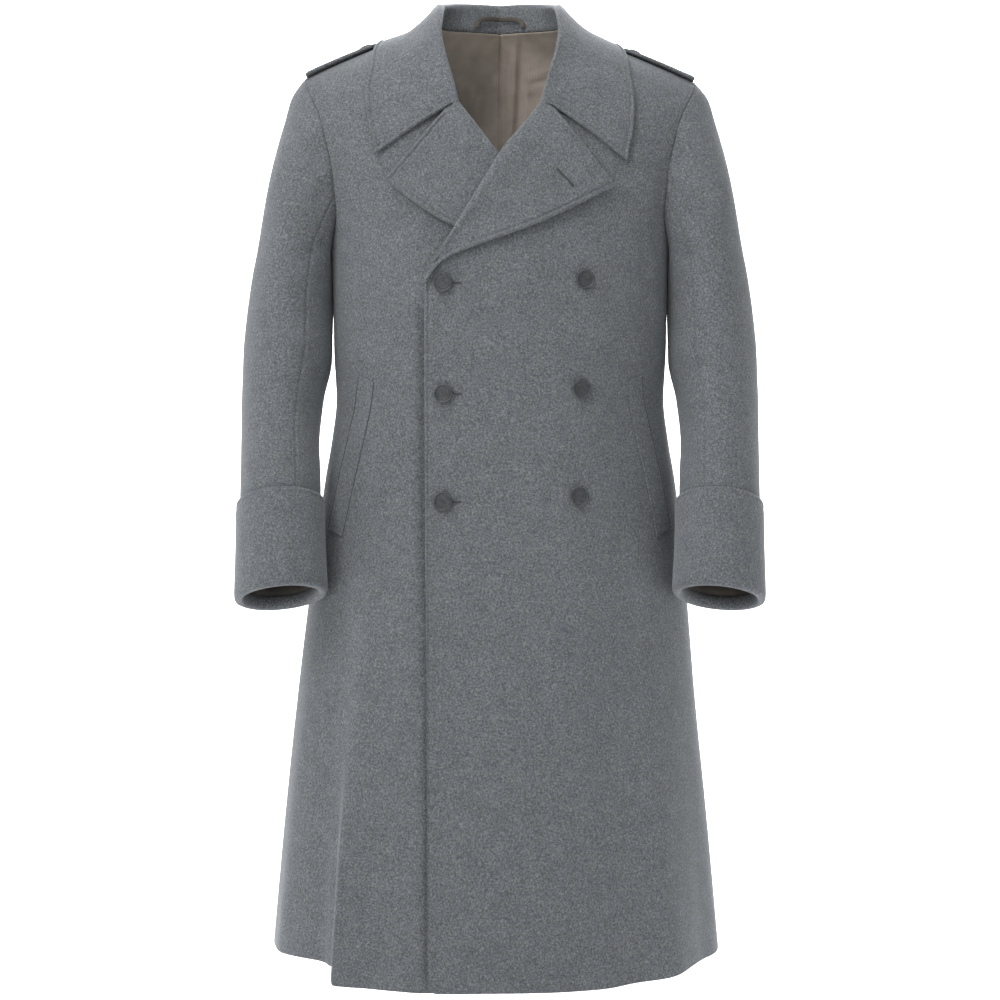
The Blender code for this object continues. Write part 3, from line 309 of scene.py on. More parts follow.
@dataclass
class Form:
    """The general form that the coat hangs on, with the coat's own folds and creases."""

    power: float = 2.3
    cap_height: float = 0.10
    neck_ratio: float = 0.255
    gorge_ratio: float = 0.19
    edge_ratio: float = -0.4255
    shoulder_ratio: float = 0.80
    nape_height: float = 0.008
    fold_floor: float = -1.17
    fold_limit: float = 1.1
    fold_growth: float = 1.4
    overlap_lift: float = 0.0038
    overlap_fade: float = 0.050
    under_lapel_lift: float = 0.0050
    under_lapel_foot: float = 0.030
    sway: float = 0.0052
    sway_start: float = -0.55
    sway_length: float = 0.35
    armhole_steps: int = 36
    armhole_ratios: np.ndarray = field(init=False)

    def __post_init__(self) -> None:
        """Space the armhole's columns evenly along its seam."""
        dense = np.linspace(ARMHOLE[0, 0], ARMHOLE[-1, 0], 200)
        points = self.point(self.angle_of(dense), smooth(ARMHOLE, 1, dense))
        length = run_lengths(points)
        self.armhole_ratios = np.interp(np.linspace(0.0, length[-1], self.armhole_steps + 1), length, dense)

    def ridge(self, x: Values) -> np.ndarray:
        """The height of the shoulders and neck at a distance from the centre."""
        return smooth(RIDGE, 1, np.abs(x))

    def half_width(self, z: Values) -> np.ndarray:
        """Half the form's width at a height."""
        return smooth(FORM, 1, z)

    def angle_of(self, ratio: Values) -> np.ndarray:
        """The angle round the form of a share of its half width."""
        return np.degrees(np.arcsin(signed_power(np.clip(ratio, -1.0, 1.0), self.power / 2)))

    def relief(self, angle: np.ndarray, z: np.ndarray) -> np.ndarray:
        """The skirt's folds, which grow towards the hem, and the body's creases.

        Args:
            angle: angles round the form, in degrees.
            z: heights.

        Returns:
            How far the cloth stands out there.
        """
        rise = np.zeros(np.broadcast(angle, z).shape)
        for centre, spread, height, start in FOLDS:
            away = (angle - centre + 180.0) % 360.0 - 180.0
            grown = np.clip((start - z) / (start - self.fold_floor), 0.0, self.fold_limit) ** self.fold_growth
            rise = rise + height * grown * np.exp(-(away / spread) ** 2)
        for centre, level, lean, length, width, height in CREASES:
            away = ((angle - centre + 180.0) % 360.0 - 180.0) / 90.0 * self.half_width(level) * 1.5
            rise = rise + crease(away, z - level, lean, length, width, height)
        return rise

    def point(self, angle: Values, z: Values) -> np.ndarray:
        """Points of the form's outer face, by their angles in degrees and heights."""
        angle, z = np.broadcast_arrays(np.asarray(angle, dtype=float), np.asarray(z, dtype=float))
        sine, cosine = np.sin(np.radians(angle)), np.cos(np.radians(angle))
        width = self.half_width(z)
        depth = np.where(cosine > 0, smooth(FORM, 2, z), smooth(FORM, 3, z))
        across, along = signed_power(sine, 2 / self.power), signed_power(cosine, 2 / self.power)
        x = width * across
        below = np.clip((self.ridge(x) - z) / self.cap_height, 0.0, 1.0)
        y = -depth * along * np.sqrt(1 - (1 - below) ** 2)
        plan = np.stack([
            signed_power(across, self.power - 1) / width,
            -signed_power(along, self.power - 1) / depth,
            0 * across,
        ], axis=-1)
        x = x - self.sway * ease((self.sway_start - z) / self.sway_length)
        return np.stack([x, y, z], axis=-1) + unit(plan) * self.relief(angle, z)[..., None]

    def normal(self, angle: Values, z: Values) -> np.ndarray:
        """The outward directions of the form's face."""
        turn, rise = 0.05, 0.0004
        around = self.point(angle + turn, z) - self.point(angle - turn, z)
        upward = self.point(angle, z + rise) - self.point(angle, z - rise)
        return unit(np.cross(around, upward))

    def front_angle(self, x: Values, z: Values) -> np.ndarray:
        """The angles of the front's points that a front view shows at x and z."""
        return self.angle_of(x / self.half_width(z))

    def top_lift(self, x: Values, z: Values) -> np.ndarray:
        """How far the top front stands out from the form, over the under front and its lapel."""
        over_front = 1 - ease((x - smooth(OVERLAP_END, 1, z)) / self.overlap_fade)
        above_edge = ease((z - straight(UNDER_LAPEL_LINE, 1, x) + 0.070) / 0.040)
        below_roll = ease((straight(UNDER_ROLL_LINE, 1, x) + 0.065 - z) / 0.035)
        before_foot = 1 - ease((x - self.under_lapel_foot) / self.overlap_fade)
        bulk = self.under_lapel_lift * above_edge * below_roll * before_foot
        return over_front * (self.overlap_lift + bulk)

    def front_place(self, side: Side, x: Values, z: Values, extra: Values) -> np.ndarray:
        """Points on a front's outer face at front-view places, moved out.

        Args:
            side: whose front it is; the left one lies over the other.
            x: distances from the centre.
            z: heights.
            extra: how far out from the face.

        Returns:
            The points.
        """
        x, z = np.asarray(x, dtype=float), np.asarray(z, dtype=float)
        angle = self.front_angle(x, z)
        lift = extra + (self.top_lift(x, z) if side is Side.LEFT else 0.0)
        return self.point(angle, z) + self.normal(angle, z) * np.asarray(lift)[..., None]

    def back_neck(self, ratio: Values) -> np.ndarray:
        """The height of the back's neck seam, highest at the centre."""
        return self.nape_height * (1 - (ratio / self.neck_ratio) ** 2)

    def front_ratio(self, ratio: float, z: Values, side: Side) -> np.ndarray:
        """The ratio of a front's column at a height, drawn along with its front edge."""
        if ratio >= self.gorge_ratio:
            return ratio + 0.0 * np.asarray(z)
        edge = -smooth(TOP_EDGE if side is Side.LEFT else UNDER_EDGE, 1, z) / self.half_width(z)
        share = (self.gorge_ratio - ratio) / (self.gorge_ratio - self.edge_ratio)
        return self.gorge_ratio + (edge - self.gorge_ratio) * share

    def column_top(self, ratio: float, is_front: bool, side: Side) -> float:
        """The height where a panel's column meets the neck, shoulder or armhole.

        Args:
            ratio: the column's ratio across the form.
            is_front: whether the panel is a front.
            side: whose panel it is.

        Returns:
            The height.
        """
        low, high = -0.5, 0.05
        for _ in range(40):
            middle = (low + high) / 2
            if ratio >= self.shoulder_ratio:
                limit = smooth(ARMHOLE, 1, ratio)
            elif ratio >= self.neck_ratio:
                limit = self.ridge(ratio * self.half_width(middle))
            elif is_front:
                limit = straight(NECK_FRONT, 1, self.front_ratio(ratio, middle, side))
            else:
                limit = self.back_neck(ratio)
            low, high = (middle, high) if middle < float(limit) else (low, middle)
        return low

    def ridge_normal(self, x: Values) -> np.ndarray:
        """The upward direction of the shoulder at a distance from the centre."""
        step = 0.001
        slope = (self.ridge(np.abs(x) + step) - self.ridge(np.abs(x) - step)) / (2 * step)
        return unit(np.stack([-slope * np.sign(x), 0 * slope, 1 + 0 * slope], axis=-1))

    def armhole_seam(self, side: Side) -> tuple[np.ndarray, np.ndarray, np.ndarray]:
        """Points round an armhole, from the shoulder tip by the front to the armpit and up the back.

        Args:
            side: whose armhole it is.

        Returns:
            The points, the directions of the seam's edge through the cloth, and the ways across it.
        """
        sign, steps = side.value, self.armhole_steps
        angles = self.angle_of(self.armhole_ratios)
        heights = smooth(ARMHOLE, 1, self.armhole_ratios)
        loop_angles = np.concatenate([sign * angles, sign * (180 - angles[-2:0:-1])])
        loop_heights = np.concatenate([heights, heights[-2:0:-1]])
        points = self.point(loop_angles, loop_heights)
        normals = self.normal(loop_angles, loop_heights)
        normals[0] = self.ridge_normal(points[0, 0])
        share = np.concatenate([np.arange(steps + 1), np.arange(steps - 1, 0, -1)]) / steps
        upright = 1 - ease((share - 0.55) / 0.45)
        edges = unit(normals * upright[:, None] + unit(points - points.mean(axis=0)))
        tangent = np.roll(points, -1, axis=0) - np.roll(points, 1, axis=0)
        across = unit(np.cross(tangent, edges))
        return points, edges, across * np.sign(across[:, :1] * sign)

    def spaced_heights(
        self, ratio_at: Callable[[np.ndarray], Values], bottom: float, top: float, shares: np.ndarray,
    ) -> np.ndarray:
        """Heights up a column at shares of its length along the cloth.

        Args:
            ratio_at: gives the column's ratio at a height.
            bottom: the height of the column's foot.
            top: the height of its top.
            shares: rising shares from 0 to 1.

        Returns:
            A height for each share.
        """
        dense = np.linspace(bottom, top, 160)
        points = self.point(self.angle_of(ratio_at(dense)), dense)
        length = run_lengths(points)
        return np.interp(shares * length[-1], length, dense)

    def is_inside(self, points: np.ndarray) -> np.ndarray:
        """Which points lie within the form."""
        x, y, z = np.moveaxis(points, -1, 0)
        angle = self.front_angle(x, z)
        angle = np.where(y > 0, 180 - angle, angle)
        within = np.abs(y) < np.abs(self.point(angle, z)[..., 1])
        return within & (z < self.ridge(x)) & (np.abs(x) < self.half_width(z))

    def push_out(self, points: np.ndarray, lift: np.ndarray) -> np.ndarray:
        """Move points out along rays from within the form, until they stand clear by the lift."""
        core = points * np.array([0.5, 0.0, 1.0]) - np.array([0.0, 0.0, 0.08])
        way = points - core
        distance = np.linalg.norm(way, axis=-1)
        way = way / distance[..., None]
        low, high = 0 * distance, 0.4 + 0 * distance
        for _ in range(40):
            middle = (low + high) / 2
            inside = self.is_inside(core + way * middle[..., None])
            low, high = np.where(inside, middle, low), np.where(inside, high, middle)
        return core + way * np.maximum(distance, low + lift)[..., None]


def crease(
    across: Values, along: Values, lean: float, length: float, width: float, rise: float,
) -> np.ndarray:
    """One crease of cloth: a soft ridge with a shallow trough below it.

    Args:
        across: distances round the piece from the crease's middle.
        along: distances up the piece from the crease's middle.
        lean: the crease's lean from upright, in degrees.
        length: its half length.
        width: its half width.
        rise: how far it stands out; less than nothing makes a trough.

    Returns:
        How far the cloth stands out at each place.
    """
    turn = math.radians(lean)
    down_it = along * math.cos(turn) + across * math.sin(turn)
    over_it = (across * math.cos(turn) - along * math.sin(turn)) / width
    trough = TROUGH_DEPTH * np.exp(-(over_it - TROUGH_PLACE) ** 2)
    return rise * np.exp(-(down_it / length) ** 2) * (np.exp(-over_it ** 2) - trough)


@dataclass
class Cloth:
    """Makes closed cloth walls from grids of points, with soft borders."""

    rounding: float = 0.0012
    seam_dip: float = 0.0009
    seam_width: float = 0.0020
    stitch_inset: float = 0.0050
    stitch_dip: float = 0.00105
    stitch_width: float = 0.0014
    swell: float = 0.0008
    # How far a seam's rim and a free rim stand out, as shares of the thickness
    seam_bulge: float = 0.075
    rim_bulge: float = 0.42
    # How much lower the wearer's left shoulder hangs, and where across and up the coat that comes in
    drop: float = 0.0058
    drop_inner: float = 0.100
    drop_outer: float = 0.230
    drop_foot: float = -0.170
    drop_side_fade: float = 0.060
    drop_foot_fade: float = 0.100
    # Each wall's outer and inner faces by its name
    faces: dict = field(default_factory=dict)

    def settled(self, points: np.ndarray) -> np.ndarray:
        """Points with the wearer's left shoulder hanging a little lower, as it does in the photograph."""
        points = np.array(points, dtype=float)
        x, z = points[..., 0], points[..., 2]
        inner = ease((x - self.drop_inner) / self.drop_side_fade)
        outer = 1 - ease((x - self.drop_outer) / self.drop_side_fade)
        share = inner * outer * ease((z - self.drop_foot) / self.drop_foot_fade)
        points[..., 2] = z - self.drop * share
        return points

    def inset_line(self, name: str, which: int, distance: float) -> tuple[np.ndarray, np.ndarray]:
        """A line on a wall's outer face beside one border, for stitches.

        Args:
            name: the wall's name.
            which: the border, as border_distance counts them.
            distance: how far the line lies from it, and how far it stops from the borders at its ends.

        Returns:
            The line's points and the ways out of the cloth there.
        """
        outer, inner = self.faces[name]
        lengths = self.border_distance(outer, which)
        thick = unit(outer - inner)
        if which < 2:
            outer, thick, lengths = outer.swapaxes(0, 1), thick.swapaxes(0, 1), lengths.T
        if which % 2 == 1:
            outer, thick, lengths = outer[:, ::-1], thick[:, ::-1], lengths[:, ::-1]
        line, ways = (
            np.array([
                [np.interp(distance, reach, row[:, k]) for k in range(3)] for reach, row in zip(lengths, grid)
            ]) for grid in (outer, thick)
        )
        along = run_lengths(line)
        kept = (along > distance) & (along < along[-1] - distance)
        return line[kept], ways[kept]

    def border_distance(self, outer: np.ndarray, which: int) -> np.ndarray:
        """Distances over the cloth from one border: 0 first column, 1 last, 2 first row, 3 last."""
        lengths = lengths_along(outer, 0 if which < 2 else 1)
        if which % 2 == 0:
            return lengths
        total = lengths[-1:] if which == 1 else lengths[:, -1:]
        return total - lengths

    def profile(self, distance: np.ndarray, kind: Edge) -> np.ndarray:
        """How far the outer face stands out at a distance from a border of a kind."""
        if kind is Edge.SEAM:
            return -self.seam_dip * np.exp(-(distance / self.seam_width) ** 2)
        near = np.clip(1 - distance / self.rounding, 0.0, 1.0)
        round_off = -self.rounding * 0.7 * (1 - np.sqrt(1 - near ** 2))
        if kind is Edge.PLAIN:
            return round_off
        groove = -self.stitch_dip * np.exp(-((distance - self.stitch_inset) / self.stitch_width) ** 2)
        band = self.swell * np.exp(-((distance - self.stitch_inset / 2) / (self.stitch_inset / 3)) ** 2)
        return round_off + groove + band

    def relief(self, outer: np.ndarray, borders: tuple) -> np.ndarray:
        """The borders' own relief over a whole grid.

        Args:
            outer: the outer face's points, by column and row.
            borders: the kind of the first column, last column, first row and last row, or None.

        Returns:
            How far each point stands out.
        """
        rise = np.zeros(outer.shape[:2])
        for which, kind in enumerate(borders):
            if kind is not None:
                rise = rise + self.profile(self.border_distance(outer, which), kind)
        return rise

    def wall(
        self, name: str, outer: np.ndarray, inner: np.ndarray, borders: tuple,
        material: bpy.types.Material, relief: bool = True,
    ) -> bpy.types.Object:
        """Close an outer and an inner face into one wall.

        Args:
            name: the object's name.
            outer: the outer face's points, by column and row.
            inner: the inner face's points, in the same order.
            borders: the kinds of the four borders; with no kinds for the columns, they join in a ring.
            material: the cloth's finish.
            relief: whether the borders' relief is added to the outer face.

        Returns:
            The new object.
        """
        ring = borders[0] is None and borders[1] is None
        thick = unit(outer - inner)
        if relief:
            outer = outer + thick * self.relief(outer, borders)[..., None]
        columns, rows = outer.shape[:2]
        index = np.arange(columns * rows).reshape(columns, rows)
        if ring:
            index_closed = np.concatenate([index, index[:1]])
            loops = [[(c, 0) for c in range(columns)], [(c, rows - 1) for c in range(columns)]]
        else:
            index_closed = index
            loops = [
                [(c, 0) for c in range(columns)]
                + [(columns - 1, r) for r in range(1, rows)]
                + [(c, rows - 1) for c in range(columns - 2, -1, -1)]
                + [(0, r) for r in range(rows - 2, 0, -1)]
            ]
        a, b = index_closed[:-1, :-1].ravel(), index_closed[1:, :-1].ravel()
        c, d = index_closed[1:, 1:].ravel(), index_closed[:-1, 1:].ravel()
        back = columns * rows
        faces = [np.stack([a, b, c, d], axis=1), np.stack([d, c, b, a], axis=1) + back]
        points = [outer.reshape(-1, 3), inner.reshape(-1, 3)]
        cloth = cloth_places(outer)
        maps = [cloth, cloth]
        start = 2 * back
        for loop in loops:
            place = np.array(loop)
            edge, under = outer[place[:, 0], place[:, 1]], inner[place[:, 0], place[:, 1]]
            next_in = np.clip(place, 1, np.array([columns, rows]) - 2)
            if ring:
                next_in[:, 0] = place[:, 0]
            away = unit(edge - outer[next_in[:, 0], next_in[:, 1]])
            bulge = np.array([self.bulge(c, r, columns, rows, borders) for c, r in loop])
            middle = (edge + under) / 2 + away * (bulge * np.linalg.norm(edge - under, axis=1))[:, None]
            count = len(loop)
            front = index[place[:, 0], place[:, 1]]
            after = np.roll(front, -1)
            ring_here = start + np.arange(count)
            ring_after = np.roll(ring_here, -1)
            pieces = [
                np.stack([front, ring_here, ring_after, after], axis=1),
                np.stack([ring_here, front + back, after + back, ring_after], axis=1),
            ]
            if ring and loop[0][1] != 0:
                pieces = [piece[:, ::-1] for piece in pieces]
            faces += pieces
            points.append(middle)
            maps.append(cloth[front])
            start += count
        self.faces[name] = (outer, inner)
        return self.mesh(name, np.concatenate(points), np.concatenate(faces), np.concatenate(maps), material)

    def bulge(self, column: int, row: int, columns: int, rows: int, borders: tuple) -> float:
        """How far the rim stands out at a border point, as a share of the thickness."""
        touched = [
            kind for at_border, kind in zip(
                (column == 0, column == columns - 1, row == 0, row == rows - 1), borders,
            ) if at_border and kind is not None
        ]
        return self.seam_bulge if Edge.SEAM in touched else self.rim_bulge

    def mesh(
        self, name: str, points: np.ndarray, faces: list | np.ndarray, cloth: np.ndarray | None,
        material: bpy.types.Material,
    ) -> bpy.types.Object:
        """Make a smooth object whose faces point outwards.

        Args:
            name: the object's name.
            points: its points.
            faces: its faces, as rows of point numbers.
            cloth: each point's place on the cloth in metres, for the UV map, or None.
            material: its finish.

        Returns:
            The new object, linked to the scene.
        """
        points = self.settled(points)
        faces = [list(map(int, face)) for face in faces]
        total = 0.0
        for face in faces:
            first = points[face[0]]
            for second, third in zip(face[1:-1], face[2:]):
                total += float(np.dot(first, np.cross(points[second], points[third])))
        if total < 0:
            faces = [face[::-1] for face in faces]
        data = bpy.data.meshes.new(name)
        data.from_pydata([tuple(point) for point in points], [], faces)
        data.validate()
        if cloth is not None:
            layer = data.uv_layers.new(name="cloth")
            corners = np.zeros(len(data.loops), dtype=np.int32)
            data.loops.foreach_get("vertex_index", corners)
            layer.data.foreach_set("uv", cloth[corners].astype(np.float32).ravel())
        data.shade_smooth()
        data.materials.append(material)
        return placed(name, data)


def placed(name: str, data: bpy.types.ID) -> bpy.types.Object:
    """A new object for its data, linked to the scene."""
    made = bpy.data.objects.new(name, data)
    bpy.context.scene.collection.objects.link(made)
    return made


def dress(piece: bpy.types.Object, slot: str, *nodes: str) -> bpy.types.Object:
    """Say what a piece rides on and which nodes it stands for.

    Args:
        piece: the finished object.
        slot: the record's material slot; not used.
        nodes: the nodes that it replaces.

    Returns:
        The same object.
    """
    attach(piece, "root")
    if nodes:
        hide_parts(*nodes)
    LOG.info("%s: %d faces", piece.name, len(piece.data.polygons))
    return piece


def grid_normals(points: np.ndarray, ring: bool = False) -> np.ndarray:
    """Directions square to a grid of points; a ring's columns join."""
    if ring:
        around = np.roll(points, -1, axis=0) - np.roll(points, 1, axis=0)
    else:
        around = np.gradient(points, axis=0)
    return unit(np.cross(around, np.gradient(points, axis=1)))


# What a node's input is given: another node's output, a value or a colour
Given = bpy.types.NodeSocket | float | tuple


@dataclass
class Nodes:
    """Adds nodes to a tree and joins them, in short lines."""

    tree: bpy.types.NodeTree

    def add(self, kind: str, inputs: dict | None = None, **settings) -> bpy.types.Node:
        """Add a node, join or set its inputs, and set its options.

        Args:
            kind: the node's type name.
            inputs: values or sockets by input name or number.
            settings: the node's own options.

        Returns:
            The node.
        """
        node = self.tree.nodes.new(kind)
        for name, value in settings.items():
            setattr(node, name, value)
        self.fill(node, inputs or {})
        return node

    def fill(self, node: bpy.types.Node, inputs: dict) -> None:
        """Join or set a node's inputs, by their names or numbers."""
        for name, value in inputs.items():
            if isinstance(value, bpy.types.NodeSocket):
                self.tree.links.new(value, node.inputs[name])
            else:
                node.inputs[name].default_value = value

    def noise(
        self, place: Given, size: float, detail: float, roughness: float, distortion: float = 0.0,
    ) -> bpy.types.NodeSocket:
        """Noise of a size in metres, read at a place."""
        return self.add("ShaderNodeTexNoise", {
            "Vector": place, "Scale": 1 / size, "Detail": detail, "Roughness": roughness,
            "Distortion": distortion,
        }).outputs["Fac"]

    def mixed(self, first: Given, second: Given, share: float) -> bpy.types.NodeSocket:
        """Two numbers added, the first one by its share and the second by the rest."""
        return self.sum("ADD", self.sum("MULTIPLY", first, share), self.sum("MULTIPLY", second, 1 - share))

    def bump(self, height: Given, strength: float, depth: float) -> bpy.types.NodeSocket:
        """Directions of a face raised by a height, to a depth in metres."""
        inputs = {"Strength": strength, "Distance": depth, "Height": height}
        return self.add("ShaderNodeBump", inputs).outputs["Normal"]

    def ramp(self, factor: bpy.types.NodeSocket, stops: tuple) -> bpy.types.NodeSocket:
        """A colour ramp through stops of (place, grey or colour)."""
        node = self.add("ShaderNodeValToRGB", {"Fac": factor})
        elements = node.color_ramp.elements
        while len(elements) < len(stops):
            elements.new(0.5)
        for element, (place, colour) in zip(elements, stops):
            element.position = place
            element.color = (colour, colour, colour, 1.0) if isinstance(colour, float) else (*colour, 1.0)
        return node.outputs["Color"]

    def blend(self, kind: str, amount: Given, first: Given, second: Given) -> bpy.types.NodeSocket:
        """Mix two colours by a named way."""
        node = self.add("ShaderNodeMix", data_type="RGBA", blend_type=kind)
        self.fill(node, {0: amount, 6: first, 7: second})
        return node.outputs[2]

    def sum(self, kind: str, first: Given, second: Given) -> bpy.types.NodeSocket:
        """A sum of two numbers, by the name of its operation."""
        return self.add("ShaderNodeMath", {0: first, 1: second}, operation=kind).outputs[0]


def new_material(name: str) -> tuple[bpy.types.Material, Nodes, bpy.types.Node]:
    """Start a material: gives it, its nodes and its shader."""
    material = bpy.data.materials.new(name)
    material.use_nodes = True
    tree = material.node_tree
    return material, Nodes(tree), tree.nodes["Principled BSDF"]


@dataclass(frozen=True)
class WoolFinish:
    """Milled grey wool: light and dark fibres mixed in the yarn, with a short nap and a soft sheen."""

    name: str = "grey melange wool"
    dark: tuple = (0.052, 0.057, 0.063)
    middle: tuple = (0.112, 0.121, 0.131)
    light: tuple = (0.225, 0.238, 0.252)
    fleck_size: float = 0.0021
    fibre_size: float = 0.0009
    cloud_size: float = 0.022
    roughness: float = 0.92
    sheen: float = 0.22
    sheen_roughness: float = 0.55
    nap_depth: float = 0.00045
    nap_strength: float = 0.55
    specular: float = 0.25
    # How much of the colour and of the nap comes from the flecks; the fibres give the rest
    fleck_colour: float = 0.68
    fleck_nap: float = 0.6

    def build(self) -> bpy.types.Material:
        """Make the material."""
        material, nodes, shader = new_material(self.name)
        place = nodes.add("ShaderNodeTexCoord").outputs["Object"]
        flecks = nodes.noise(place, self.fleck_size, 3.0, 0.62)
        fibres = nodes.noise(place, self.fibre_size, 4.0, 0.7, distortion=0.6)
        clouds = nodes.noise(place, self.cloud_size, 3.0, 0.5)
        yarn = nodes.mixed(flecks, fibres, self.fleck_colour)
        body = nodes.ramp(yarn, ((0.34, self.dark), (0.50, self.middle), (0.66, self.light)))
        tone = nodes.ramp(clouds, ((0.32, 0.88), (0.68, 1.0)))
        nap = nodes.mixed(flecks, fibres, self.fleck_nap)
        nodes.fill(shader, {
            "Base Color": nodes.blend("MULTIPLY", 1.0, body, tone),
            "Normal": nodes.bump(nap, self.nap_strength, self.nap_depth),
            "Roughness": self.roughness,
            "Specular IOR Level": self.specular,
            "Sheen Weight": self.sheen,
            "Sheen Roughness": self.sheen_roughness,
            "Sheen Tint": (0.80, 0.84, 0.88, 1.0),
        })
        return material


@dataclass(frozen=True)
class TwillFinish:
    """A smooth lining woven in a fine twill, told apart by its colours."""

    name: str
    dark: tuple
    light: tuple
    roughness: float
    rib: float = 0.0011
    rib_lean: float = 38.0
    rib_share: float = 0.12
    cloud_size: float = 0.030
    depth: float = 0.00012
    strength: float = 0.35
    specular: float = 0.35
    sheen: float = 0.12

    def build(self) -> bpy.types.Material:
        """Make the material."""
        material, nodes, shader = new_material(self.name)
        place = nodes.add("ShaderNodeUVMap", uv_map="cloth").outputs["UV"]
        turned = nodes.add(
            "ShaderNodeMapping", {"Vector": place, "Rotation": (0.0, 0.0, math.radians(self.rib_lean))},
        )
        ribs = nodes.add("ShaderNodeTexWave", {
            "Vector": turned.outputs["Vector"], "Scale": 1 / (self.rib * 2 * math.pi), "Distortion": 0.4,
            "Detail": 1.0, "Detail Scale": 2.0,
        }, wave_type="BANDS", bands_direction="X").outputs["Fac"]
        body = nodes.add("ShaderNodeTexCoord").outputs["Object"]
        tone = nodes.mixed(ribs, nodes.noise(body, self.cloud_size, 4.0, 0.55), self.rib_share)
        nodes.fill(shader, {
            "Base Color": nodes.ramp(tone, ((0.25, self.dark), (0.75, self.light))),
            "Normal": nodes.bump(ribs, self.strength, self.depth),
            "Roughness": self.roughness,
            "Sheen Weight": self.sheen,
            "Specular IOR Level": self.specular,
        })
        return material


@dataclass(frozen=True)
class ButtonFinish:
    """Dark grey moulded buttons: a satin face, mottled a little in colour and dullness."""

    name: str = "dark grey button"
    dark: tuple = (0.024, 0.027, 0.030)
    light: tuple = (0.058, 0.063, 0.069)
    mottle_size: float = 0.0035
    roughness: float = 0.40
    scratch_depth: float = 0.00006
    scratch_strength: float = 0.4

    def build(self) -> bpy.types.Material:
        """Make the material."""
        material, nodes, shader = new_material(self.name)
        place = nodes.add("ShaderNodeTexCoord").outputs["Object"]
        mottle = nodes.noise(place, self.mottle_size, 5.0, 0.6)
        fine = nodes.noise(place, self.mottle_size / 6, 3.0, 0.6)
        dull = nodes.add("ShaderNodeMapRange", {
            "Value": mottle, "To Min": self.roughness - 0.06, "To Max": self.roughness + 0.14,
        }).outputs["Result"]
        nodes.fill(shader, {
            "Base Color": nodes.ramp(mottle, ((0.35, self.dark), (0.68, self.light))),
            "Normal": nodes.bump(fine, self.scratch_strength, self.scratch_depth),
            "Roughness": dull,
        })
        return material


@dataclass(frozen=True)
class ThreadFinish:
    """Matching thread, told apart by its colour."""

    name: str
    colour: tuple
    roughness: float = 0.75
    twist: float = 0.0009

    def build(self) -> bpy.types.Material:
        """Make the material."""
        material, nodes, shader = new_material(self.name)
        place = nodes.add("ShaderNodeTexCoord").outputs["Object"]
        grain = nodes.noise(place, self.twist, 2.0, 0.6)
        dark = tuple(0.7 * part for part in self.colour)
        light = tuple(1.25 * part for part in self.colour)
        nodes.fill(shader, {
            "Base Color": nodes.ramp(grain, ((0.35, dark), (0.65, light))), "Roughness": self.roughness,
        })
        return material


def end_marks(start: float, end: float, distances: tuple, scale: float, step: float) -> np.ndarray:
    """Values from start to end about a step apart, with close ones by the end.

    Args:
        start: the first value.
        end: the last value.
        distances: distances from the end, falling, in metres.
        scale: values for each metre there.
        step: the widest step elsewhere.

    Returns:
        The rising or falling values.
    """
    sign = 1 if end > start else -1
    close = [end - sign * distance * scale for distance in distances]
    return np.concatenate([filled([start, close[0]], step), close[1:], [end]])


# Distances from a border at which a grid has its columns or rows, for the rounding and the stitched line
STITCHED_MARKS = (0.0130, 0.0100, 0.0082, 0.0070, 0.0060, 0.0050, 0.0038, 0.0024, 0.0012, 0.0005)
SEWN_MARKS = (0.0080, 0.0050, 0.0032, 0.0019, 0.0009)


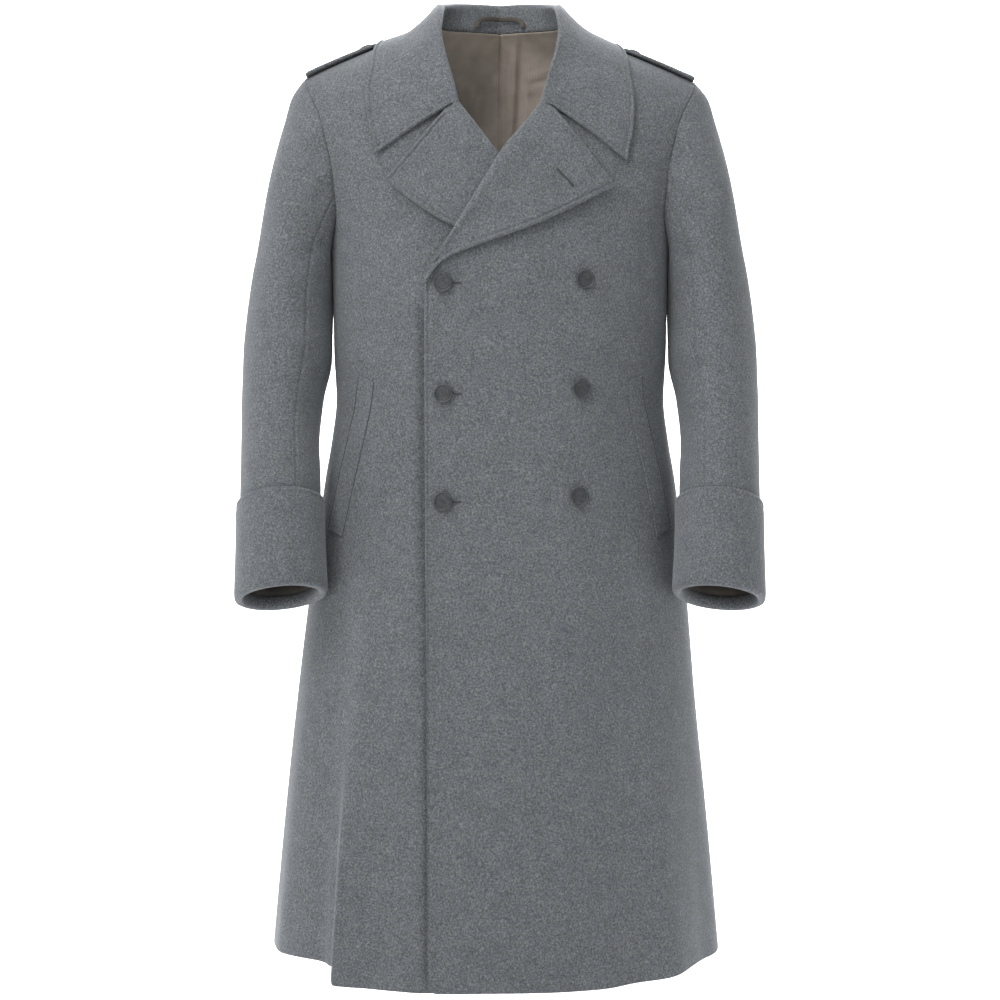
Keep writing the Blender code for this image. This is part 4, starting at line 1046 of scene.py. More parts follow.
@dataclass
class Body:
    """The two fronts and two backs, from the hem to the neck, shoulders and armholes."""

    form: Form
    cloth: Cloth
    material: bpy.types.Material
    split_z: float = -0.36
    ratio_step: float = 0.014
    neck_step: float = 0.0075
    lower_step: float = 0.0110
    upper_step: float = 0.0085
    corner_radius: float = 0.012
    edge_stretch: float = 1.15
    side_depth: float = 0.115
    edge_curl: float = 0.0034
    valley: float = 0.0058
    valley_width: float = 0.0080
    curl_width: float = 0.0110
    curl_top: float = -0.345
    curl_fade: float = 0.040
    # Height where the columns' distances are measured, and the usual lengths above and below the split
    measure_z: float = -0.6
    upper_length: float = 0.3
    lower_length: float = 0.8
    # Ratio up to which the back's columns are crowded by the centre seam
    centre_span: float = 0.12

    def ratios(self, is_front: bool) -> np.ndarray:
        """The columns of a panel as ratios across the form, crowded by its edges and seams."""
        form = self.form
        scale = 1 / float(form.half_width(self.measure_z))
        if is_front:
            near = end_marks(form.gorge_ratio, form.edge_ratio, STITCHED_MARKS, scale, self.ratio_step)[::-1]
            first = np.concatenate([near, filled([form.gorge_ratio, form.neck_ratio], self.neck_step)[1:]])
        else:
            near = end_marks(self.centre_span, 0.0, SEWN_MARKS, scale, self.ratio_step)[::-1]
            first = np.concatenate([near, filled([self.centre_span, form.neck_ratio], self.ratio_step)[1:]])
        middle = filled([form.neck_ratio, form.shoulder_ratio], self.ratio_step)[1:]
        by_side = [
            (1 - (distance / self.side_depth) ** form.power) ** (1 / form.power) for distance in SEWN_MARKS
        ]
        armhole = form.armhole_ratios[1:]
        kept = [ratio for ratio in armhole[:-1] if ratio < by_side[0]]
        return np.concatenate([first, middle, kept, by_side, [1.0]])

    def panel(self, side: Side, is_front: bool) -> tuple[np.ndarray, np.ndarray]:
        """The outer and inner points of a front or back.

        Args:
            side: whose panel it is.
            is_front: whether it is a front.

        Returns:
            The two grids, by column and row.
        """
        form, sign = self.form, side.value
        ratios = self.ratios(is_front)
        _, seam_edges, seam_across = form.armhole_seam(side)
        loop = len(seam_edges)
        above, below = self.upper_length, self.lower_length
        upper_marks = end_marks(0.0, 1.0, SEWN_MARKS, 1 / above, self.upper_step / above)[1:]
        hem_marks = 1 - end_marks(0.0, 1.0, STITCHED_MARKS, 1 / below, self.lower_step / below)[::-1]
        edge_x = -float(smooth(TOP_EDGE if side is Side.LEFT else UNDER_EDGE, 1, form.fold_floor))
        outer, inner = [], []
        for column, ratio in enumerate(ratios):
            top = form.column_top(ratio, is_front, side)
            upper = form.spaced_heights(
                lambda z: form.front_ratio(ratio, z, side) if is_front else ratio + 0 * z,
                self.split_z, top, upper_marks,
            )
            foot_ratio = float(form.front_ratio(ratio, form.fold_floor, side)) if is_front else ratio
            foot = float(form.angle_of(foot_ratio))
            hem = float(smooth(HEM, 1, sign * foot if is_front else sign * (180 - foot)))
            if is_front:
                from_edge = foot_ratio * float(form.half_width(form.fold_floor)) - edge_x
                near = max(0.0, 1 - from_edge / self.corner_radius)
                hem += self.corner_radius * (1 - math.sqrt(1 - min(near, 1.0) ** 2))
            z = np.concatenate([hem + (self.split_z - hem) * hem_marks, upper])
            angle = sign * form.angle_of(form.front_ratio(ratio, z, side) if is_front else ratio + 0 * z)
            if not is_front:
                angle = sign * 180 - angle
            points, normals = form.point(angle, z), form.normal(angle, z)
            if is_front and side is Side.LEFT:
                from_edge = (ratio - form.edge_ratio) * float(form.half_width(self.measure_z))
                curl = self.edge_curl * math.exp(-(from_edge / self.curl_width) ** 2)
                curl = curl * ease((self.curl_top - z) / self.curl_fade)
                points = points + normals * (form.top_lift(points[:, 0], z) + curl)[:, None]
            if is_front and side is Side.RIGHT:
                past_edge = (points[:, 0] + smooth(TOP_EDGE, 1, z)) / self.valley_width
                dip = self.valley * np.exp(-past_edge ** 2) * ease((self.curl_top - z) / self.curl_fade)
                points = points - normals * dip[:, None]
            seam_gap = -SEAM if is_front else SEAM
            if form.neck_ratio <= ratio < form.shoulder_ratio + 0.001:
                normals[-1] = form.ridge_normal(points[-1, 0])
                points[-1, 1] += seam_gap
            if column == len(ratios) - 1:
                points[:, 1] += seam_gap
            if not is_front and column == 0:
                points[:, 0] += sign * SEAM
            if ratio >= form.shoulder_ratio - 1e-9:
                row = float(np.interp(ratio, form.armhole_ratios, np.arange(form.armhole_steps + 1)))
                row = row if is_front else (loop - row) % loop
                normals[-1] = around_loop(seam_edges, row) * self.edge_stretch
                points[-1] = points[-1] - around_loop(seam_across, row) * SEAM
            outer.append(points)
            inner.append(points - normals * WOOL)
        return np.array(outer), np.array(inner)

    def build(self) -> None:
        """Make and dress the four panels."""
        for side in Side:
            outer, inner = self.panel(side, True)
            name = "front_" + side.word
            front = self.cloth.wall(
                name, outer, inner, (Edge.FREE, Edge.SEAM, Edge.PLAIN, Edge.SEAM), self.material,
            )
            dress(front, "wool", name)
            outer, inner = self.panel(side, False)
            name = "back_" + side.word
            back = self.cloth.wall(
                name, outer, inner, (Edge.SEAM, Edge.SEAM, Edge.PLAIN, Edge.SEAM), self.material,
            )
            dress(back, "wool", name)


def around_loop(values: np.ndarray, place: Values) -> np.ndarray:
    """Read a closed loop of rows at fractional places."""
    place = np.asarray(place, dtype=float)
    low = np.floor(place).astype(int)
    part = (place - low)[..., None]
    count = len(values)
    return values[low % count] * (1 - part) + values[(low + 1) % count] * part


@dataclass
class Sleeves:
    """Each sleeve's two pieces, its turn-back cuff and the lining at its end."""

    form: Form
    cloth: Cloth
    material: bpy.types.Material
    # The sleeve ends' lining finish, darkened as painted shade for the inside of the sleeve
    lining: bpy.types.Material
    levels: tuple = (-0.36, -0.415, -0.465, -0.515, -0.565, -0.62, -0.665, -0.705)
    level_step: float = 0.0095
    upper_rows: int = 34
    crowding: float = 1.3
    head_fade: float = 0.13
    head_power: float = 2.2
    front_seam: float = 6 / 18
    back_seam: float = 13 / 18
    cuff_end: float = -0.709
    ring_sides: int = 96
    edge_stretch: float = 1.15
    mean_radius: float = 0.066
    # Place along the sleeve past the cuff's lower end, distance out from the sleeve's outer face
    cuff_profile: tuple = (
        (0.111, 0.0009), (0.1114, 0.0026), (0.1106, 0.0040), (0.1080, 0.0046), (0.1062, 0.0045),
        (0.1050, 0.0040), (0.1036, 0.0045), (0.0990, 0.0049), (0.0880, 0.0049), (0.075, 0.0048),
        (0.055, 0.0048), (0.035, 0.0048), (0.018, 0.0047), (0.006, 0.0045), (0.0010, 0.0041),
        (-0.0020, 0.0028), (-0.0036, 0.0), (-0.0032, -0.0035), (-0.0016, -0.0058), (0.002, -0.0066),
        (0.012, -0.0066), (0.0125, -0.0036), (0.0050, -0.0034), (0.0016, -0.0013), (0.0028, 0.0008),
        (0.035, 0.0010), (0.075, 0.0009),
    )
    lining_profile: tuple = (
        (0.0125, -0.0058), (0.0120, -0.0050), (0.0135, -0.0045), (0.040, -0.0046), (0.100, -0.0046),
        (0.100, -0.0056), (0.055, -0.0058), (0.025, -0.0060),
    )

    def place(self, side: Side, turn: Values, level: Values, lift: Values) -> np.ndarray:
        """Points of a sleeve's outer face.

        Args:
            side: whose sleeve it is.
            turn: turns in degrees, 0 outside and 90 front.
            level: heights of the rings' middles.
            lift: distances out from the face.

        Returns:
            The points.
        """
        reach_out, reach_in, forward, depth, lean, splay = (smooth(SLEEVE, k, level) for k in range(1, 7))
        lean, splay, turn = np.radians(lean), np.radians(splay), np.radians(turn)
        across = (reach_out - reach_in) / 2 + lift
        nothing = 0 * across
        centre = np.stack([(reach_out + reach_in) / 2 + nothing, forward + nothing, level + nothing], axis=-1)
        outward = np.stack([np.cos(splay) + nothing, nothing, -np.sin(splay) + nothing], axis=-1)
        front = np.stack([nothing, -np.cos(lean) + nothing, np.sin(lean) + nothing], axis=-1)
        point = centre + outward * (across * np.cos(turn))[..., None]
        point = point + front * ((depth + lift) * np.sin(turn))[..., None]
        return point * np.array([side.value, 1, 1])

    def relief(self, side: Side, turn: np.ndarray, level: np.ndarray) -> np.ndarray:
        """The creases of a sleeve; the two sleeves' creases differ a little in place and depth."""
        shift, depth = (0.0, 1.0) if side is Side.LEFT else (0.011, 0.85)
        rise = np.zeros(np.broadcast(turn, level).shape)
        for centre, place, lean, length, width, height in SLEEVE_CREASES:
            away = ((turn - centre + 180.0) % 360.0 - 180.0) * math.pi / 180 * self.mean_radius
            rise = rise + depth * crease(away, level - place - shift, lean, length, width, height)
        return rise

    def grid(self, side: Side, columns: np.ndarray) -> tuple[np.ndarray, np.ndarray]:
        """The outer and inner points of part of a sleeve.

        Args:
            side: whose sleeve it is.
            columns: places round the armhole seam, in its own steps.

        Returns:
            The two grids, by column and row.
        """
        seam_points, seam_edges, seam_across = self.form.armhole_seam(side)
        loop = len(seam_points)
        shares = end_marks(1.0, 0.0, SEWN_MARKS, 4.0, 1 / self.upper_rows)[::-1] ** self.crowding
        lower = filled(self.levels, self.level_step)[1:]
        outer, levels_of, turns = [], [], []
        for column in columns:
            start = around_loop(seam_points, column)
            turn = 360.0 * column / loop
            upper = start[2] + (self.levels[0] - start[2]) * shares
            levels = np.concatenate([upper, lower])
            tube = self.place(side, turn + 0 * levels, levels, 0.0)
            fade = np.clip(1 - (start[2] - levels) / self.head_fade, 0.0, 1.0) ** self.head_power
            outer.append(tube + (start - tube[0]) * fade[:, None])
            levels_of.append(levels)
            turns.append(turn + 0 * levels)
        outer, levels_of, turns = np.array(outer), np.array(levels_of), np.array(turns)
        normals = grid_normals(outer) * side.value
        outer = outer + normals * self.relief(side, turns, levels_of)[..., None]
        normals = grid_normals(outer) * side.value
        outer[:, 0] = around_loop(seam_points, columns) + around_loop(seam_across, columns) * SEAM
        inner = outer - normals * WOOL
        inner[:, 0] = outer[:, 0] - around_loop(seam_edges, columns) * WOOL * self.edge_stretch
        for end, following in ((0, 1), (-1, -2)):
            way = unit(outer[following] - outer[end]) * SEAM
            outer[end] += way
            inner[end] += way
        return outer, inner

    def columns(self, start: float, end: float) -> np.ndarray:
        """Places round the sleeve from one seam to the other, close together by both."""
        close = np.array([0.0, 0.15, 0.32, 0.55, 0.85, 1.3])
        whole = filled([start + close[-1], end - close[-1]], 1.0)
        return np.concatenate([start + close[:-1], whole, end - close[-2::-1]])

    def ring(self, name: str, side: Side, profile: tuple, material: bpy.types.Material) -> bpy.types.Object:
        """Sweep a closed profile round the sleeve's end.

        Args:
            name: the object's name.
            side: whose sleeve it is.
            profile: places along the sleeve and distances out from its face.
            material: the ring's finish.

        Returns:
            The new object.
        """
        turns = np.arange(self.ring_sides) * 360.0 / self.ring_sides
        grid = np.array([
            self.place(side, turns, self.cuff_end + place + 0 * turns, lift) for place, lift in profile
        ]).transpose(1, 0, 2)
        faces = tube_faces(*grid.shape[:2], ring=True)
        return self.cloth.mesh(name, grid.reshape(-1, 3), faces, cloth_places(grid), material)

    def build(self) -> None:
        """Make and dress both sleeves."""
        loop = 2 * self.form.armhole_steps
        front, back = self.front_seam * loop, self.back_seam * loop
        for side in Side:
            for word, start, end, flat, area in (
                ("topsleeve_", back, loop + front, (0.24, 0.66), 0.139),
                ("undersleeve_", front, back, (0.17, 0.60), 0.069),
            ):
                outer, inner = self.grid(side, self.columns(start, end))
                name = word + side.word
                piece = self.cloth.wall(
                    name, outer, inner, (Edge.SEAM, Edge.SEAM, Edge.SEAM, None), self.material,
                )
                dress(piece, "wool", name)
            name = "cuff_" + side.word
            cuff = dress(self.ring(name, side, self.cuff_profile, self.material), "wool", name)
            name = "sleeve_lining_" + side.word
            lining = dress(self.ring(name, side, self.lining_profile, self.lining), "sleeve_lining", name)


@dataclass
class Lapels:
    """The turned-out parts of the two fronts, with their soft rolls."""

    form: Form
    cloth: Cloth
    material: bpy.types.Material
    gorge: tuple = (0.0509, -0.1100)
    notch: tuple = (0.0660, -0.1215)
    notch_share: float = 0.17
    break_x: float = -0.0894
    break_z: float = -0.330
    roll_middle_z: float = -0.179
    rise: float = 0.0018
    top_rise: float = 0.0028
    puff: float = 0.0032
    turn: float = 2.5
    edge_lift: float = 0.0026
    under_start: float = 0.36
    roll_steps: int = 11
    roll_inset: float = 0.80
    roll_slack: float = 0.0012
    roll_reach: float = 0.92
    # Shares across or along a lapel: middle and spread of the puff, reach of the lift by the edge and the end
    puff_place: float = 0.15
    puff_width: float = 0.20
    edge_width: float = 0.16
    end_width: float = 0.09
    end_fade: float = 0.15
    # Share of the under lapel's length where its puff and its edge's lift start
    under_puff: float = 0.45
    under_lift: float = 0.30
    # Place along the roll line, front-view place x and z of the lapel's outer edge
    top_edge: np.ndarray = field(default_factory=lambda: np.array([
        (0.0, -0.0875, -0.3350), (0.10, -0.0700, -0.3115), (0.40, -0.0252, -0.2910),
        (0.72, 0.0384, -0.2665), (1.0, 0.1380, -0.2130),
    ]))
    under_edge: np.ndarray = field(default_factory=lambda: np.array([
        (0.0, 0.0330, -0.2560), (0.30, -0.0060, -0.2830), (0.62, -0.0580, -0.2640),
        (0.93, -0.1240, -0.2170), (1.0, -0.1360, -0.2040),
    ]))

    def roll_place(self, side: Side, share: Values) -> tuple[np.ndarray, np.ndarray]:
        """Front-view places on a front's roll line, from the break (0) to the neck (1)."""
        x = self.break_x + (self.gorge[0] - self.break_x) * share
        heights = (self.break_z, self.roll_middle_z, self.gorge[1])
        return side.value * x, np.interp(x, (self.break_x, 0.0, self.gorge[0]), heights)

    def places(self, side: Side, share: np.ndarray, across: np.ndarray) -> tuple:
        """Front-view places x and z of a lapel's points, and its puff over the roll.

        Args:
            side: whose lapel it is.
            share: places along the lapel, as rows.
            across: places across it, from the roll line to the edge.

        Returns:
            x, z and the puff, each a grid by row and column.
        """
        start, table = (0.0, self.top_edge) if side is Side.LEFT else (self.under_start, self.under_edge)
        roll_x, roll_z = self.roll_place(side, start + (1 - start) * share)
        edge_x, edge_z = smooth(table, 1, share), smooth(table, 2, share)
        last_roll = self.roll_place(side, 1.0)
        last_edge = table[-1, 1], table[-1, 2]
        steps = (0, self.notch_share, 1)
        end_x = np.interp(across, steps, (last_roll[0], side.value * self.notch[0], last_edge[0]))
        end_z = np.interp(across, steps, (float(last_roll[1]), self.notch[1], last_edge[1])) - self.rise
        bend = share[:, None] ** self.turn
        last_x = last_roll[0] + (last_edge[0] - last_roll[0]) * across
        last_z = float(last_roll[1]) + (last_edge[1] - float(last_roll[1])) * across
        x = roll_x[:, None] + (edge_x - roll_x)[:, None] * across + bend * (end_x - last_x)
        z = roll_z[:, None] + (edge_z - roll_z)[:, None] * across + bend * (end_z - last_z)
        puff = self.puff * np.exp(-((across - self.puff_place) / self.puff_width) ** 2)[None, :]
        puff = puff * ease(share / 0.3)[:, None]
        beside_edge = np.exp(-((1 - across) / self.edge_width) ** 2)[None, :] * ease(share / 0.25)[:, None]
        beside_end = np.exp(-((1 - share) / self.end_width) ** 2)[:, None]
        beside_end = beside_end * ease((across - self.notch_share) / self.end_fade)[None, :]
        stand = self.edge_lift * np.maximum(beside_edge, beside_end)
        if side is Side.RIGHT:
            puff = puff * ease((share - self.under_puff) / 0.3)[:, None]
            stand = stand * ease((share - self.under_lift) / 0.2)[:, None]
        return x, z, puff + stand

    def build(self) -> None:
        """Make and dress both lapels."""
        end = end_marks(0.92, 1.0, STITCHED_MARKS, 4.2, 0.010)
        share = np.concatenate([filled([0.0, 0.92], 0.016), end[1:]])
        across = end_marks(0.0, 1.0, STITCHED_MARKS, 8.5, 0.024)
        for side, rise in ((Side.LEFT, self.top_rise), (Side.RIGHT, self.rise)):
            x, z, puff = self.places(side, share, across)
            inner = self.form.front_place(side, x, z, rise + puff)
            outer = self.form.front_place(side, x, z, rise + puff + LAPEL_WOOL)
            free_end = self.cloth.relief(outer, (None, Edge.FREE, None, None))
            free_end = free_end * ease((across - self.notch_share) / 0.06)[None, :]
            relief = self.cloth.relief(outer, (Edge.PLAIN, None, None, Edge.FREE)) + free_end
            outer = outer + unit(outer - inner) * relief[..., None]
            outer, inner = self.with_roll(outer, inner)
            name = "lapel_" + side.word
            borders = (Edge.PLAIN, Edge.FREE, Edge.PLAIN, Edge.FREE)
            piece = self.cloth.wall(name, outer, inner, borders, self.material, relief=False)
            dress(piece, "wool", name)

    def roll_frame(self, outer: np.ndarray, inner: np.ndarray) -> tuple:
        """Where a lapel's roll turns, for each of its rows.

        Args:
            outer: the outer face's points, by row and column.
            inner: the inner face's points.

        Returns:
            The roll's hubs, the ways out of the cloth, the ways beyond the roll line, and the radii.
        """
        thick = unit(outer[:, 0] - inner[:, 0])
        away = unit(outer[:, 0] - outer[:, 3])
        away = unit(away - thick * np.sum(away * thick, axis=1)[:, None])
        radius = (np.linalg.norm(outer[:, 0] - inner[:, 0], axis=1) + self.rise + WOOL + self.roll_slack) / 2
        radius = radius * ease(0.35 + np.linspace(0.0, 1.0, len(radius)) * 6)
        hub = outer[:, 0] - thick * radius[:, None] - away * (radius * self.roll_inset)[:, None]
        return hub, thick, away, radius

    def gorge_roll(self, side: Side, turns: tuple, clear: float, overlap: float) -> np.ndarray:
        """Points round the top end of a lapel's roll, for the collar's front end to meet it.

        Args:
            side: whose lapel it is.
            turns: turns in degrees, 0 on the lapel's face and 180 on the front's inner side.
            clear: how far the points stand off the roll.
            overlap: how far down the lapel they lie.

        Returns:
            A point for each turn.
        """
        x, z, puff = self.places(side, np.array([0.90, 0.95, 1.0]), np.array([0.0, 0.02, 0.05, 0.10]))
        rise = self.top_rise if side is Side.LEFT else self.rise
        inner = self.form.front_place(side, x, z, rise + puff)
        outer = self.form.front_place(side, x, z, rise + puff + LAPEL_WOOL)
        hub, thick, away, radius = self.roll_frame(outer, inner)
        down = unit(hub[1] - hub[2]) * overlap
        turn = np.radians(turns)[:, None]
        return hub[2] + down + (thick[2] * np.cos(turn) + away[2] * np.sin(turn)) * (radius[1] + clear)

    def with_roll(self, outer: np.ndarray, inner: np.ndarray) -> tuple[np.ndarray, np.ndarray]:
        """Turn a lapel's inner border over the front's edge, round a soft roll.

        Args:
            outer: the outer face's points, by row and column.
            inner: the inner face's points.

        Returns:
            Both faces with the roll's columns before the first.
        """
        hub, thick, away, radius = self.roll_frame(outer, inner)
        rolled_outer, rolled_inner = [], []
        for step in range(self.roll_steps):
            turn = math.pi * (1 - step / self.roll_steps) * self.roll_reach
            way = thick * math.cos(turn) + away * math.sin(turn)
            rolled_outer.append(hub + way * radius[:, None])
            rolled_inner.append(hub + way * np.maximum(radius - LAPEL_WOOL, 0.0004)[:, None])
        rolled_outer = np.stack(rolled_outer, axis=1)
        rolled_inner = np.stack(rolled_inner, axis=1)
        keep = 2
        return (
            np.concatenate([rolled_outer, outer[:, keep:]], axis=1),
            np.concatenate([rolled_inner, inner[:, keep:]], axis=1),
        )


@dataclass
class Collar:
    """The wide collar: its stand, its roll along the neck and its fall over the shoulders."""

    form: Form
    cloth: Cloth
    lapels: Lapels
    material: bpy.types.Material
    notch: tuple = (0.0660, -0.1215)
    notch_share: float = 0.17
    gorge_turns: tuple = (165.0, 128.0, 88.0, 48.0, 6.0)
    gorge_start: float = 0.74
    gorge_clear: float = 0.0002
    gorge_overlap: float = 0.0004
    fall: tuple = (0.17, 0.34, 0.52, 0.70, 0.86, 1.0)
    rise: float = 0.0014
    bulk: float = 0.0040
    roll_radius: float = 0.0062
    roll_taper: float = 0.48
    edge_lift: float = 0.0026
    half_shares: int = 27
    free_start: float = 4.6
    left_ease: float = 0.0055
    # How far the right end's edge, the left half's edge and its roll are drawn aside
    right_end: tuple = (0.004, 0.0, 0.009)
    left_edge: tuple = (1.0, 0.0, 0.5)
    left_roll: tuple = (1.0, 0.0, 0.3)
    # Share of the half length, how far the fall's middle stands up from a straight line
    tent: np.ndarray = field(default_factory=lambda: np.array([
        (0.0, 0.0040), (0.22, 0.0010), (0.36, -0.0060), (0.56, -0.0060),
        (0.72, 0.0), (0.85, 0.0012), (1.0, 0.0012),
    ]))
    # From the back centre to the front: share of the neck seam, way from the seam to the roll line
    # x, y, z, place of the outer edge x, y, z
    table: np.ndarray = field(default_factory=lambda: np.array([
        (0.0, 0.0, 0.0125, 0.0410, 0.0, 0.1100, -0.0330),
        (0.12, 0.0010, 0.0140, 0.0405, 0.0550, 0.1060, -0.0340),
        (0.25, -0.0010, 0.0120, 0.0385, 0.1050, 0.0850, -0.0340),
        (0.36, -0.0085, 0.0065, 0.0350, 0.1370, 0.0480, -0.0300),
        (0.455, -0.0125, -0.0010, 0.0290, 0.1450, -0.0020, -0.0215),
        (0.56, -0.0085, -0.0100, 0.0215, 0.1515, -0.0300, -0.0370),
        (0.68, -0.0020, -0.0135, 0.0130, 0.1550, -0.0580, -0.0660),
        (0.80, -0.0002, -0.0130, 0.0085, 0.1580, -0.0740, -0.1020),
        (0.91, -0.0005, -0.0110, 0.0050, 0.1590, -0.0860, -0.1430),
        (1.0, 0.0008, -0.0085, 0.0026, 0.1550, -0.1000, -0.1820),
    ]))

    def neck_seam(self, side: int, share: np.ndarray) -> np.ndarray:
        """Points along half of the neck seam, from the back centre to the front of the roll line."""
        form = self.form
        back = np.linspace(0.0, form.neck_ratio, 60)
        front = np.linspace(form.neck_ratio, form.gorge_ratio, 60)[1:]
        angles = np.concatenate([180 - form.angle_of(back), form.angle_of(front)])
        heights = np.concatenate([form.back_neck(back), straight(NECK_FRONT, 1, front)])
        seam = form.point(side * angles, heights)
        length = run_lengths(seam)
        return np.stack([np.interp(share * length[-1], length, seam[:, k]) for k in range(3)], axis=1)

    def half(self, side: int, share: np.ndarray) -> np.ndarray:
        """Control points of half the collar: up the stand, over the roll and down the fall.

        Args:
            side: 1 for the wearer's left half, -1 for the right.
            share: shares of the half length.

        Returns:
            The points, by share and place across.
        """
        flip = np.array([side, 1, 1])
        base = self.neck_seam(side, share)
        roll = base + np.stack([smooth(self.table, k, share) for k in (1, 2, 3)], axis=1) * flip
        edge = np.stack([smooth(self.table, k, share) for k in (4, 5, 6)], axis=1) * flip
        if side < 0:
            edge = edge + ease((share - 0.8) / 0.2)[:, None] * np.array(self.right_end)
        else:
            closer = self.left_ease * np.exp(-((share - 0.34) / 0.16) ** 2)
            edge = edge - closer[:, None] * np.array(self.left_edge)
            roll = roll - 0.6 * closer[:, None] * np.array(self.left_roll)
        turned = ease((share - 0.4) / 0.5)[:, None]
        crest = unit(np.array([0.0, 0.0, 1.0]) * (1 - turned) + np.array([0.25 * side, -1.0, 0.25]) * turned)
        away = edge - roll
        away = unit(away - crest * np.sum(away * crest, axis=1, keepdims=True))
        radius = self.roll_radius * (1 - self.roll_taper * ease((share - 0.45) / 0.25))[:, None]
        fold_in = roll - away * radius - crest * radius * 0.8
        fold_out = roll + away * radius - crest * radius * 0.5
        base = base + np.array([0.0, 0.0, self.rise]) + crest * self.rise * ease((share - 0.5) / 0.3)[:, None]
        lying = Side.LEFT if side > 0 else Side.RIGHT
        met = ease((share - self.gorge_start) / (1 - self.gorge_start))[:, None]
        rounds = self.lapels.gorge_roll(lying, self.gorge_turns, self.gorge_clear, self.gorge_overlap)
        points = [
            point + (round_point - point) * met for point, round_point in zip(
                (base, base + (fold_in - base) * 0.55, fold_in, roll, fold_out), rounds,
            )
        ]
        fold_out = points[-1]
        notch = self.form.front_place(lying, side * self.notch[0], self.notch[1], self.rise + COLLAR_WOOL)
        for across in self.fall:
            point = fold_out + (edge - fold_out) * across
            past = max(0.0, (across - self.notch_share) / (1 - self.notch_share))
            target = notch + (edge - notch) * past
            point = point + (target - point) * (ease((share - 0.55) / 0.45) ** 2)[:, None]
            point = point + crest * (smooth(self.tent, 1, share) * math.sin(math.pi * across))[:, None]
            layer = np.where(point[:, 1] < 0, self.form.top_lift(point[:, 0], point[:, 2]), 0.0) * (side > 0)
            bulk = self.bulk * (1 - across) * ease((share - 0.45) / 0.3)
            stand = self.edge_lift * across ** 6
            points.append(self.form.push_out(point, self.rise + COLLAR_WOOL + layer + bulk + stand))
        return np.stack(points, axis=1)

    def build(self) -> None:
        """Make and dress the collar."""
        share = np.linspace(0.0, 1.0, self.half_shares)
        right = self.half(-1, share[:0:-1])
        left = self.half(1, share)
        middle = (left[:1] + left[:1] * np.array([-1, 1, 1])) / 2
        control = np.concatenate([right, middle, left[1:]])
        last = len(control) - 1
        close = (0.0, 0.05, 0.11, 0.18, 0.26, 0.34, 0.42, 0.50, 0.60, 0.72, 0.86)
        places = np.concatenate([close, filled([1.0, last - 1.0], 0.25), last - np.array(close[::-1])])
        grid = resampled(control, places)
        across = end_marks(0.0, 10.0, STITCHED_MARKS, 70.0, 0.25)
        outer = resampled(grid.transpose(1, 0, 2), across).transpose(1, 0, 2)
        normals = grid_normals(outer)
        if np.dot(normals[len(outer) // 2, -8], (0.0, 0.3, 1.0)) < 0:
            normals = -normals
        half_share = np.abs(places / last * 2 - 1)
        thin = 1 - 0.6 * ease((half_share - 0.45) / 0.25)[:, None] * (1 - ease((across - 2.0) / 1.0))[None, :]
        inner = outer - normals * (COLLAR_WOOL * thin)[..., None]
        past_notch = ease((across - self.free_start) / 0.8)[None, :]
        free_ends = self.cloth.relief(outer, (Edge.FREE, Edge.FREE, None, None)) * past_notch
        relief = self.cloth.relief(outer, (None, None, Edge.PLAIN, Edge.FREE)) + free_ends
        outer = outer + normals * relief[..., None]
        borders = (Edge.FREE, Edge.FREE, Edge.PLAIN, Edge.FREE)
        piece = self.cloth.wall("collar", outer, inner, borders, self.material, relief=False)
        dress(piece, "wool", "collar")


